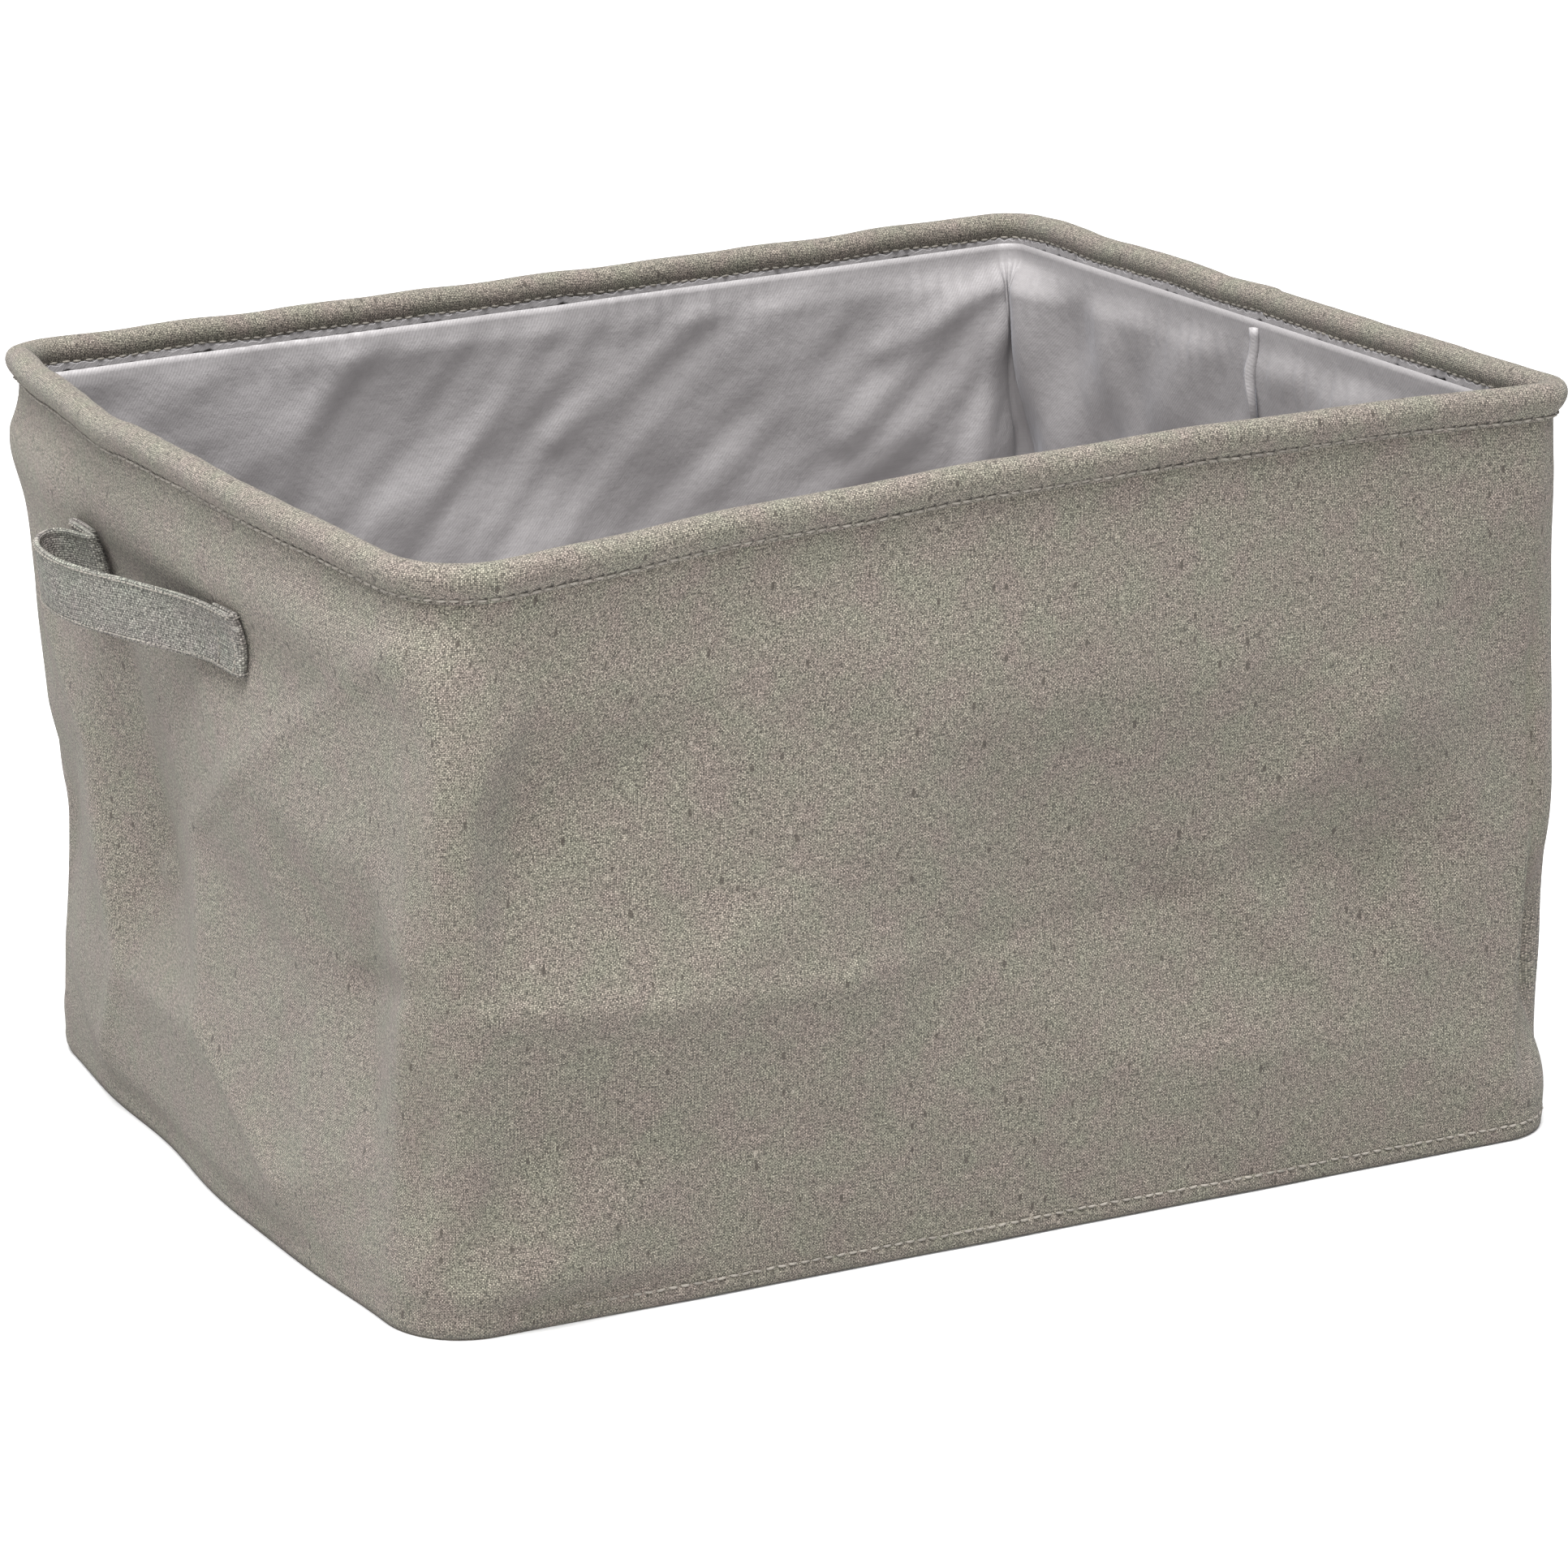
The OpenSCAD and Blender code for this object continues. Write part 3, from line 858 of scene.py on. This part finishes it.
def wall_surface(shape, rows, fine=1.0):
    """The canvas wall's middle surface as rows from foot to hem: points, outward directions and run."""
    rim, _ = rim_ring(shape, fine)
    foot, _ = foot_ring(shape, fine)
    run, whole = lengths((rim + foot) / 2)
    grid, out = np.empty((rows, len(rim), 3)), np.empty((rows, len(rim), 2))
    shares = np.linspace(0, 1, rows)
    for row, t in enumerate(shares):
        radii = corner_radii(shape, t)
        low, low_out = foot_ring(shape, fine, radii)
        high, high_out = rim_ring(shape, fine, radii)
        high[:, 2] -= RIM_TOP - HEM_LOW
        high[:, :2] -= high_out * 0.0019
        grid[row] = low * (1 - t) + high * t
        out[row] = bearing(high_out, low_out, t)
    runs = np.broadcast_to(run, grid.shape[:2])
    relief = canvas_relief(grid, out, runs, run[corner_index(fine)], max(1, round(2 * fine ** 2)))
    ends = np.clip(shares / 0.03, 0, 1) * np.clip((1 - shares) / 0.06, 0, 1)
    grid[..., :2] += out * (relief * ends[:, None])[..., None]
    return grid, out, run, whole


def corner_index(fine):
    """Column at the middle of the front left corner."""
    long_side, short_half, corner = steps_at(fine)
    return short_half + corner + long_side + corner + 2 * short_half + corner // 2


class BIN_OT_canvas_walls(bpy.types.Operator):
    """Build the outer canvas wall and its upright side seam"""

    bl_idname = "bin.canvas_walls"
    bl_label = "Canvas walls"

    def execute(self, context):
        shape = context.scene.bin_shape
        grid, out, run, whole = wall_surface(shape, WALL_ROWS, WALL_FINE)
        made["wall"] = (grid, out)
        heights = np.linspace(WALL_LOW, HEM_LOW, WALL_ROWS)
        tucked = grid[-1:].copy()
        tucked[..., 2] += HEM_LAP
        tucked[..., :2] -= out[-1:] * HEM_TUCK
        skirt = np.repeat(grid[:1], len(SKIRT_DROP), axis=0)
        skirt[..., 2] -= SKIRT_DROP[:, None]
        skirt[..., :2] -= out[:1] * SKIRT_TUCK[:, None, None]
        full = np.concatenate([skirt, grid, tucked])
        heights = np.concatenate([WALL_LOW - SKIRT_DROP, heights, [HEM_LOW + HEM_LAP]])
        wall = cloth_mesh("outer_wall_cloth", full, run, heights, shape.canvas_thick, True, whole)
        finish(wall, canvas(), "canvas", "outer_wall")
        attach(wall, "base")

        seam_y = np.linspace(-0.0016, 0.0016, 7)
        mound = np.array([-0.1, 0.45, 0.75, 0.85, 0.75, 0.45, -0.1]) * 0.0010
        rows = []
        for z in np.linspace(WALL_LOW + 0.0005, HEM_LOW - 0.0005, 60):
            x = [wall_reach(1, y, z) + 0.0006 + m for y, m in zip(seam_y, mound)]
            sway = 0.0005 * math.sin(z / 0.013)
            rows.append([(a, y + sway, z) for a, y in zip(x, seam_y)])
        seam = cloth_mesh("outer_side_seam_cloth", np.array(rows), seam_y + 0.5,
                          np.linspace(WALL_LOW, HEM_LOW, 60), 0.0006, False)
        finish(seam, canvas(), "canvas", "outer_side_seam")
        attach(seam, "base")
        for piece in (wall, seam):
            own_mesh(piece)
        return {"FINISHED"}


def wall_reach(side, y, z):
    """Distance of the canvas from the middle plane on the left (-1) or right (1) side at that place."""
    grid, out = made["wall"]
    facing = (out[0, :, 0] * side) > 0.8
    points = grid[:, facing]
    row = int(np.argmin(np.abs(points[:, points.shape[1] // 2, 2] - z)))
    near = points[max(row - 1, 0):row + 2].reshape(-1, 3)
    gap = np.hypot(near[:, 1] - y, near[:, 2] - z)
    nearest = np.argsort(gap)[:6]
    weight = 1 / (gap[nearest] + 1e-4) ** 2
    return float(np.abs((near[nearest, 0] * weight).sum() / weight.sum()))


# The hem round its wire, from the outer to the inner edge: (distance out from the rim, height), in metres.
HEM_SECTION = (
    (-0.0011, -0.0141), (-0.0010, -0.0129), (0.0002, -0.0114), (0.0019, -0.0092), (0.0031, -0.0068),
    (0.0035, -0.0043), (0.0027, -0.0019), (0.0008, -0.0004), (-0.0016, 0.0000), (-0.0040, -0.0005),
    (-0.0060, -0.0022), (-0.0068, -0.0048), (-0.0064, -0.0074), (-0.0054, -0.0096), (-0.0048, -0.0112),
    (-0.0046, -0.0126))


def hem_grid(shape, fine):
    """The folded hem over the rim wire as rows from its outer to its inner edge."""
    rim, out = rim_ring(shape, fine)
    run, whole = lengths(rim)
    section, around = curve_through(HEM_SECTION, 30)
    plump = 1 + 0.05 * ripples(run, run * 0, 31, 0.03, 0.11)
    lean = 0.0003 * ripples(run, run * 0, 32, 0.02, 0.07)
    grid = np.empty((len(section), len(rim), 3))
    for k, (away, down) in enumerate(section):
        swell = np.where(down > -0.011, plump, 1.0)
        grid[k, :, :2] = rim[:, :2] + out * ((away + WIRE_INSET) * swell - WIRE_INSET + lean)[:, None]
        grid[k, :, 2] = rim[:, 2] + down + 0.0004 * ripples(run, run * 0, 33, 0.03, 0.09)
    return grid, out, run, whole, around


class BIN_OT_rim(bpy.types.Operator):
    """Build the hem, the wire hoop inside it and the rows of stitches"""

    bl_idname = "bin.rim"
    bl_label = "Rim"

    def execute(self, context):
        shape = context.scene.bin_shape
        grid, out, run, whole, around = hem_grid(shape, RIM_FINE)
        hem = cloth_mesh("rim_hem_cloth", grid, run, HEM_LOW + around, shape.canvas_thick, True, whole)
        colours = context.scene.bin_colours
        step = whole / int(whole / shape.stitch_pitch)
        sewn = woven("sewn_canvas", colours.canvas, colours.fleck, shape.yarn_pitch, 0.55, 1.0,
                     (HEM_LOW + around[2] - 0.0002, step))
        finish(hem, sewn, "canvas", "rim_hem")
        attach(hem, "rim")

        rim, hoop_out = rim_ring(shape)
        hoop_run, hoop_whole = lengths(rim)
        sides = 10
        hoop_grid = np.empty((sides, len(rim), 3))
        centre_drop = RIM_TOP - WIRE_Z
        for k in range(sides):
            turn = -2 * math.pi * k / sides
            hoop_grid[k, :, :2] = rim[:, :2] + hoop_out * (-WIRE_INSET + WIRE_R * math.cos(turn))
            hoop_grid[k, :, 2] = rim[:, 2] - centre_drop - WIRE_R * math.sin(turn)
        hoop = ring_mesh("rim_hoop_wire", hoop_grid, hoop_run, np.arange(sides) * 0.001,
                         hoop_whole, sides * 0.001)
        finish(hoop, drawn_wire("drawn_steel"), "wire", "rim_wire")
        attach(hoop, "rim")

        out3 = level(out)
        outer_row = grid[2].copy()
        outer_row[:, :2] += out * (shape.canvas_thick / 2 + SEWN_STANDOFF)
        outer_row[:, 2] -= 0.0006
        rows = ring_stitches("rim_stitches", outer_row, out3, shape, 41)
        finish(rows, thread(), "thread", "rim_stitching")
        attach(rows, "rim")
        inner_row = grid[-4].copy()
        inner_row[:, :2] -= out * (shape.canvas_thick / 2 + SEWN_STANDOFF)
        inside = ring_stitches("rim_inner_stitches", inner_row, -out3, shape, 42)
        inside.data.materials.append(thread())
        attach(inside, "rim")
        return {"FINISHED"}


def finer(grid, wrap=True):
    """The grid with a smooth point added between each pair, both ways."""
    def between(values, axis, closed):
        """The same along one axis."""
        if closed:
            before, after, later = (np.roll(values, s, axis=axis) for s in (1, -1, -2))
        else:
            first = np.take(values, [0], axis)
            last = np.take(values, [-1], axis)
            size = values.shape[axis]
            before = np.concatenate([first, np.take(values, range(size - 1), axis)], axis)
            after = np.concatenate([np.take(values, range(1, size), axis), last], axis)
            later = np.concatenate([np.take(values, range(2, size), axis), last, last], axis)
        middle = (9 * (values + after) - before - later) / 16
        shape = list(values.shape)
        shape[axis] *= 2
        both = np.empty(shape)
        index = [slice(None)] * values.ndim
        index[axis] = slice(0, None, 2)
        both[tuple(index)] = values
        index[axis] = slice(1, None, 2)
        both[tuple(index)] = middle
        return both if closed else np.take(both, range(shape[axis] - 1), axis)

    return between(between(grid, 1, wrap), 0, False)


class BIN_OT_lining(bpy.types.Operator):
    """Build the loose lining, its folded top edge and its side seam"""

    bl_idname = "bin.lining"
    bl_label = "Lining"

    def execute(self, context):
        shape = context.scene.bin_shape
        canvas_grid, out, run, whole = wall_surface(shape, LINING_ROWS)
        grid = canvas_grid.copy()
        hang = lining_relief(grid, out, np.broadcast_to(run, grid.shape[:2]))
        grid[..., :2] -= out * (LINING_CLEAR + hang)[..., None]
        tuck = LINING_TUCK * np.clip((canvas_grid[..., 2] - WALL_LOW) / (HEM_LOW - WALL_LOW), 0, 1) ** 1.5
        grid[..., :2] -= out * tuck[..., None]
        grid[-1, :, 2] += LINING_LAP
        cols = grid.shape[1]
        reach = ((grid - canvas_grid)[..., :2] * out).sum(-1)
        over = np.clip(reach + LINING_CLEAR, 0, None)
        grid[..., :2] -= out * over[..., None]
        grid = finer(grid)
        fine_run = np.empty(2 * cols)
        fine_run[::2] = run
        fine_run[1::2] = (run + np.append(run[1:], whole)) / 2
        tall = np.linspace(WALL_LOW, HEM_LOW, grid.shape[0])
        wall = cloth_mesh("lining_wall_cloth", grid, fine_run, tall, shape.lining_thick, True, whole)
        finish(wall, lining_cloth(), "lining", "lining_wall")
        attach(wall, "base")

        # The side seam stands up from the lining in the middle of the right wall.
        rows = []
        for x, y, z in grid[1:-1, 0]:
            sway = 0.0016 * math.sin(z / 0.011) + 0.0010 * math.sin(z / 0.0047)
            lift = 0.0042 + 0.0008 * math.sin(z / 0.008)
            rows.append([(x - 0.0004, y - 0.0008, z), (x - 0.4 * lift, y - 0.0006 + 0.6 * sway, z),
                         (x - lift, y + sway, z), (x - 1.02 * lift, y + sway + 0.0006, z),
                         (x - 0.5 * lift, y + 0.0008 + 0.6 * sway, z), (x - 0.0004, y + 0.0010, z)])
        seam = cloth_mesh("lining_side_seam_cloth", np.array(rows)[:, ::-1], np.arange(6) * 0.0015,
                          tall[1:-1], 0.0005, False)
        finish(seam, lining_cloth(), "lining", "lining_side_seam")
        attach(seam, "base")
        for piece in (wall, seam):
            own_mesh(piece)

        self.top_fold(shape)
        return {"FINISHED"}

    @staticmethod
    def top_fold(shape):
        """The lining's top edge, turned under twice and sewn below the canvas band."""
        hem, hem_out, hem_run, hem_whole, _ = hem_grid(shape, RIM_FINE)
        edge = hem[-2]
        section = (
            (-0.0002, -0.0018), (-0.0002, 0.0), (-0.0002, 0.0017), (-0.0006, 0.0021), (-0.0010, 0.0017),
            (-0.0010, 0.0), (-0.0010, -0.0017), (-0.0014, -0.0021), (-0.0018, -0.0017), (-0.0018, 0.0),
            (-0.0018, 0.0014))
        turned, around = curve_through(section, 30)
        gather = 0.0005 * np.sin(2 * math.pi * hem_run / 0.0068 + 2 * np.sin(hem_run / 0.03))
        gather += 0.0005 * ripples(hem_run, hem_run * 0, 51, 0.008, 0.03)
        grid = np.empty((len(turned), len(edge), 3))
        for k, (away, up) in enumerate(turned):
            grid[k, :, :2] = edge[:, :2] + hem_out * (away + gather * 0.5)[:, None]
            grid[k, :, 2] = edge[:, 2] + up + gather
        fold = cloth_mesh("lining_top_fold_cloth", grid, hem_run, HEM_LOW + around,
                          0.0004, True, hem_whole)
        finish(fold, lining_cloth(), "lining", "lining_top_fold")
        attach(fold, "rim")


def grid_faces(rows, cols):
    """Four-sided faces of a grid that closes on itself round the bin."""
    i, j = (g.ravel() for g in np.meshgrid(np.arange(rows - 1), np.arange(cols), indexing="ij"))
    k = (j + 1) % cols
    return np.stack([i * cols + j, i * cols + k, (i + 1) * cols + k, (i + 1) * cols + j], axis=1)


def floor_panel(name, ring, height, thick, sag=0.0):
    """A flat panel inside a ring: rows of ever smaller rings round a centre, closed below."""
    shares = np.concatenate([[1.0, 0.992], np.linspace(0.96, 0.04, 25)])
    rings = []
    for share in shares:
        loop = ring * (share, share, 0)
        ease = np.clip((1 - share) / 0.1, 0, 1)
        loop[:, 2] = height + sag * ease * ripples(loop[:, 0], loop[:, 1], 61, 0.05, 0.2, 12)
        rings.append(loop)
    grid = np.array(rings)
    rows, cols = grid.shape[:2]
    top = grid + (0, 0, thick / 2)
    low = grid - (0, 0, thick / 2)
    low[..., 2] = height - thick / 2
    middle_top = [[0, 0, float(top[-1, :, 2].mean())]]
    middle_low = [[0, 0, height - thick / 2]]
    verts = np.concatenate([top.reshape(-1, 3), low.reshape(-1, 3), middle_top, middle_low])
    faces = [tuple(f) for f in grid_faces(rows, cols)]
    under = rows * cols
    faces += [tuple(n + under for n in reversed(f)) for f in faces]
    last = (rows - 1) * cols
    centre = 2 * under
    for j in range(cols):
        k = (j + 1) % cols
        faces.append((j, j + under, k + under, k))
        faces.append((last + j, last + k, centre))
        faces.append((under + last + k, under + last + j, centre + 1))
    corners = [n for face in faces for n in face]
    return new_piece(name, verts, faces, verts[corners][:, :2], False)


class BIN_OT_base(bpy.types.Operator):
    """Build the base: canvas panel, board, lining floor, welt and its stitches"""

    bl_idname = "bin.base"
    bl_label = "Base"

    def execute(self, context):
        shape = context.scene.bin_shape
        foot, out = foot_ring(shape)
        out3 = level(out)
        panel = floor_panel("outer_base_cloth", foot - out3 * PANEL_INSET, 0.0006, 0.0012)
        finish(panel, canvas(), "canvas", "outer_base")
        board = floor_panel("stiff_board", foot - out3 * BOARD_INSET, (BOARD_LOW + BOARD_TOP) / 2,
                            BOARD_TOP - BOARD_LOW)
        finish(board, pressed_board("pressed_board", context.scene.bin_colours.board), "board", "base_board")
        floor = floor_panel("lining_floor_cloth", foot - out3 * FLOOR_INSET, FLOOR_Z + 0.0007,
                            0.0006, 0.0004)
        finish(floor, lining_cloth(), "lining", "lining_base")

        run, whole = lengths(foot)
        front = np.clip(-out[:, 1], 0, 1) ** 2 * np.clip((foot[:, 0] + 0.215) / 0.05, 0, 1)
        proud = 0.04 + 0.42 * front + 0.15 * np.clip(out[:, 0], 0, 1) ** 2
        proud = proud + 0.3 * np.clip(out[:, 1], 0, 1) ** 2
        proud = np.convolve(np.concatenate([proud[-8:], proud, proud[:8]]), np.ones(17) / 17, "valid")
        proud *= 1 + 0.10 * ripples(run, run * 0, 71, 0.03, 0.09)
        section = (
            (-0.0034, 0.0004), (-0.0010, 0.0), (0.0010, 0.0003), (0.0022, 0.0016), (0.0025, 0.0040),
            (0.0023, 0.0062), (0.0014, 0.0078), (0.0001, 0.0086), (-0.0012, 0.0088), (-0.0034, 0.0086))
        grid = np.empty((len(section), len(foot), 3))
        for k, (away, up) in enumerate(section):
            swell = np.where(away > 0, -0.0012 + away * 2.3 * proud, away)
            grid[k, :, :2] = foot[:, :2] + out * swell[:, None]
            grid[k, :, 2] = up
        welt = ring_mesh("foot_welt_cloth", grid, run, np.arange(len(section)) * 0.0022,
                         whole, len(section) * 0.0022)
        finish(welt, canvas(), "canvas", "base_welt")
        row = foot.copy()
        row[:, :2] += out * (-0.0012 + 0.0053 * proud)[:, None]
        row[:, 2] = 0.0071
        rows = ring_stitches("foot_stitches", row, out3, shape, 72, 0.0002)
        finish(rows, thread(), "thread", "base_stitching")
        for piece in (panel, board, floor, welt, rows):
            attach(piece, "base")
        return {"FINISHED"}


# How the strap runs from its front end to its back end: (distance from the wall, place along it), in mm.
STRAP_RUN = (
    (1.5, -58), (1.5, -73), (2.7, -76.6), (3.9, -74), (3.9, -64), (3.9, -53), (5.0, -44), (9.0, -30),
    (15.0, -10), (21.5, 12), (26.5, 34), (28.5, 52), (27.6, 67), (23.6, 77), (18.0, 80.5), (13.2, 77),
    (9.6, 69), (7.2, 62), (5.6, 58.4), (4.0, 60.2), (3.9, 66), (3.9, 84), (2.7, 86.6), (1.5, 84), (1.5, 66))


class BIN_OT_handles(bpy.types.Operator):
    """Build both handle straps with their edge stitches and tack rows"""

    bl_idname = "bin.handles"
    bl_label = "Handles"

    def execute(self, context):
        colours = context.scene.bin_colours
        shape = context.scene.bin_shape
        cloth = woven("strap_cloth", colours.strap, colours.fleck, shape.strap_yarn_pitch, 0.9, 0.35)
        self.strap(context, "left", -1, 1, cloth)
        self.strap(context, "right", 1, -1, cloth)
        return {"FINISHED"}

    def strap(self, context, name, side, way, cloth):
        """One handle: side is -1 for left, way turns the slack towards the back (1) or the front (-1)."""
        shape = context.scene.bin_shape
        path, run = curve_through(STRAP_RUN, 190)
        away, along = path[:, 0] / 1000, path[:, 1] / 1000 * way
        half = (STRAP_TOP - STRAP_LOW) / 2
        thick = shape.strap_thick / 2
        step = np.gradient(np.stack([away, along], 1), axis=0)
        step /= np.linalg.norm(step, axis=1, keepdims=True)
        face = np.stack([step[:, 1] * way, -step[:, 0] * way], 1)
        section = self.section(half, thick)
        droop = -0.0030 * np.clip(away / 0.028, 0, 1) ** 1.5
        levels = np.linspace(-half, half, 7)
        reach = np.array([[wall_reach(side, y, STRAP_Z + h) for h in levels] for y in along[::6]])
        at = np.arange(0, len(along), 6)
        grid = np.empty((len(section), len(path), 3))
        for k, (through, up) in enumerate(section):
            flat = np.array([np.interp(up, levels, r) for r in reach])
            base = np.interp(np.arange(len(along)), at, flat)
            middle = np.interp(np.arange(len(along)), at, reach[:, 3])
            hug = np.clip(1 - (away - 0.004) / 0.012, 0, 1)
            wall = middle + (base - middle) * hug
            lean = 0.10 * up * np.clip(away / 0.028, 0, 1)
            grid[k, :, 0] = side * (wall + away + face[:, 0] * through + lean)
            grid[k, :, 1] = along + face[:, 1] * through
            grid[k, :, 2] = STRAP_Z + up + droop
        strap = self.strap_mesh(name + "_strap", grid, run / 1000, section, side * way)
        finish(strap, cloth, "strap", f"{name}_front_tab", f"{name}_back_tab", f"{name}_strap_loop")
        rows = self.edge_stitches(name, grid, section, run / 1000, side, face, shape)
        rows.data.materials.append(thread())
        tacks = self.tack_rows(name, side, way, shape)
        finish(tacks, thread(), "thread", f"{name}_tab_stitching")
        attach(tacks, f"{name}_handle_ends")
        wall_x = wall_reach(side, 0.0, STRAP_Z)
        for piece in (strap, rows):
            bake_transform(piece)

    @staticmethod
    def section(half, thick):
        """The strap's section: flat faces with a thicker sewn edge above and below."""
        edge = 0.0019
        ups = [-half + edge * 2.1, -half + edge * 1.3, -half + edge * 0.8, -half + 0.0004]
        swell = [0.90, 0.72, 1.12, 0.80]
        front = [(thick * s, u) for s, u in zip(swell, ups)]
        front = front[::-1] + [(thick * 0.95, u) for u in np.linspace(ups[0] + 0.002, -ups[0] - 0.002, 6)]
        front += [(thick * s, -u) for s, u in zip(swell, ups)]
        back = [(-a, b) for a, b in reversed(front)]
        return front + [(0.0, half)] + back + [(0.0, -half)]

    @staticmethod
    def strap_mesh(name, grid, run, section, turn):
        """The strap's closed surface, with its ends capped."""
        rows, cols = grid.shape[:2]
        verts = grid.reshape(-1, 3)
        faces, uv = [], []
        height = [up for _, up in section]
        for i in range(rows):
            k = (i + 1) % rows
            for j in range(cols - 1):
                face = [(i, j), (k, j), (k, j + 1), (i, j + 1)]
                if turn > 0:
                    face.reverse()
                faces.append([a * cols + b for a, b in face])
                uv += [(run[b], height[a]) for a, b in face]
        for j, flip in ((0, turn > 0), (cols - 1, turn < 0)):
            ring = [(i, j) for i in range(rows)]
            if not flip:
                ring.reverse()
            faces.append([a * cols + b for a, b in ring])
            uv += [(run[b] + 0.001, height[a]) for a, b in ring]
        return new_piece(name, verts, faces, np.array(uv))

    @staticmethod
    def edge_stitches(name, grid, section, run, side, face, shape):
        """Stitches beside both long edges, on the side of the strap that faces away from the bin."""
        count = len(section)
        places, ways, outs = [], [], []
        pitch = shape.stitch_pitch * 0.6
        at = np.arange(pitch, run[-1] - pitch, pitch)
        for k in (1, count // 2 - 3):
            line = np.stack([np.interp(at, run, grid[k, :, c]) for c in range(3)], 1)
            ahead = np.stack([np.interp(at + 0.0006, run, grid[k, :, c]) for c in range(3)], 1) - line
            ahead /= np.linalg.norm(ahead, axis=1, keepdims=True)
            out_x = np.interp(at, run, face[:, 0]) * side
            out_y = np.interp(at, run, face[:, 1])
            out = np.stack([out_x, out_y, 0 * out_x], 1)
            out /= np.linalg.norm(out, axis=1, keepdims=True)
            places.append(line)
            ways.append(ahead)
            outs.append(out)
        return stitches(name + "_strap_edge_stitches", np.concatenate(places), np.concatenate(ways),
                        np.concatenate(outs), STRAP_STITCH, shape.stitch_radius * 0.65)

    @staticmethod
    def tack_rows(name, side, way, shape):
        """Two upright rows of stitches through each sewn end."""
        chance = np.random.default_rng(81 if side < 0 else 82)
        half = (STRAP_TOP - STRAP_LOW) / 2
        places, ways, outs = [], [], []
        for along in (-0.0735, -0.0600, 0.0665, 0.0830):
            for up in np.arange(-half + 0.0025, half - 0.002, TACK_PITCH):
                lean = 0.0006 * math.sin(up * 400) + chance.uniform(-0.0002, 0.0002)
                y = (along + lean) * way
                x = wall_reach(side, y, STRAP_Z + up) + 0.0039 + shape.strap_thick / 2
                places.append((side * x, y, STRAP_Z + up))
                ways.append((0, chance.uniform(-0.1, 0.1), 1))
                outs.append((side, 0, 0))
        ways = np.array(ways)
        ways /= np.linalg.norm(ways, axis=1, keepdims=True)
        return stitches(name + "_tab_stitches", np.array(places), ways, np.array(outs, float),
                        STRAP_STITCH, shape.stitch_radius * 0.8)


class BIN_OT_stage(bpy.types.Operator):
    """Set the floor, the soft lights and the camera"""

    bl_idname = "bin.stage"
    bl_label = "Stage"

    def execute(self, context):
        scene = context.scene
        reach = 8
        ground = new_piece("studio_floor", [(-reach, -reach, 0), (reach, -reach, 0), (reach, reach, 0),
                                            (-reach, reach, 0)], [(0, 1, 2, 3)])
        material, tree, shader = blank("pale_floor")
        pale = scene.bin_colours.ground
        paint = blended(tree, grain(tree, 2.0, 2.0), shade(pale, 1.0), shade(pale, 0.995))
        tree.links.new(paint, shader.inputs["Base Color"])
        shader.inputs["Roughness"].default_value = 0.9
        ground.data.materials.append(material)

        world = bpy.data.worlds.new("studio")
        world.use_nodes = True
        world.node_tree.nodes["Background"].inputs[0].default_value = (1.0, 1.0, 1.0, 1)
        world.node_tree.nodes["Background"].inputs[1].default_value = 0.42
        scene.world = world
        self.lamp("overhead", "SUN", (-0.18, -0.20, 1.0), (0, 0, 0), 7.6, angle=math.radians(44))
        self.lamp("front_left", "AREA", (-0.50, -1.00, 0.55), (-0.15, -0.2, 0.15), 4.6, size=0.5)
        self.lamp("left_high", "AREA", (-0.95, 0.20, 1.00), (0.24, 0.05, 0.22), 4.2, size=0.4)
        scene.view_settings.view_transform = "Standard"

        data = bpy.data.cameras.new("camera")
        data.sensor_width = 36
        data.lens = 132.03
        camera = bpy.data.objects.new("camera", data)
        scene.collection.objects.link(camera)
        camera.location = (-1.0365, -1.9806, 0.800)
        aim = Vector((-0.0114, -0.0265, 0.1355)) - camera.location
        camera.rotation_euler = aim.to_track_quat("-Z", "Y").to_euler()
        scene.camera = camera
        return {"FINISHED"}

    @staticmethod
    def lamp(name, kind, place, target, power, **settings):
        """A soft light at a place, aimed at a target."""
        data = bpy.data.lights.new(name, kind)
        data.energy = power
        for key, value in settings.items():
            setattr(data, key, value)
        item = bpy.data.objects.new(name, data)
        bpy.context.scene.collection.objects.link(item)
        item.location = place
        item.rotation_euler = (Vector(place) - Vector(target)).to_track_quat("Z", "Y").to_euler()


class BIN_PT_panel(bpy.types.Panel):
    """Lists the steps that build the storage bin"""

    bl_idname = "BIN_PT_panel"
    bl_label = "Storage Bin"
    bl_space_type = "VIEW_3D"
    bl_region_type = "UI"
    bl_category = "Storage Bin"

    def draw(self, context):
        for step in STEPS:
            self.layout.operator(step.bl_idname)


STEPS = (BIN_OT_stage, BIN_OT_canvas_walls, BIN_OT_rim, BIN_OT_lining, BIN_OT_base, BIN_OT_handles)
CLASSES = (BinShape, BinColours, *STEPS, BIN_PT_panel)


def register():
    """Adds the classes and the scene's sizes and colours."""
    for item in CLASSES:
        bpy.utils.register_class(item)
    bpy.types.Scene.bin_shape = bpy.props.PointerProperty(type=BinShape)
    bpy.types.Scene.bin_colours = bpy.props.PointerProperty(type=BinColours)


def unregister():
    """Takes them away again."""
    del bpy.types.Scene.bin_colours
    del bpy.types.Scene.bin_shape
    for item in reversed(CLASSES):
        bpy.utils.unregister_class(item)


def main():
    """Builds the bin step by step."""
    register()
    bpy.ops.bin.stage()
    bpy.ops.bin.canvas_walls()
    bpy.ops.bin.rim()
    bpy.ops.bin.lining()
    bpy.ops.bin.base()
    bpy.ops.bin.handles()


if __name__ == "__main__":
    main()
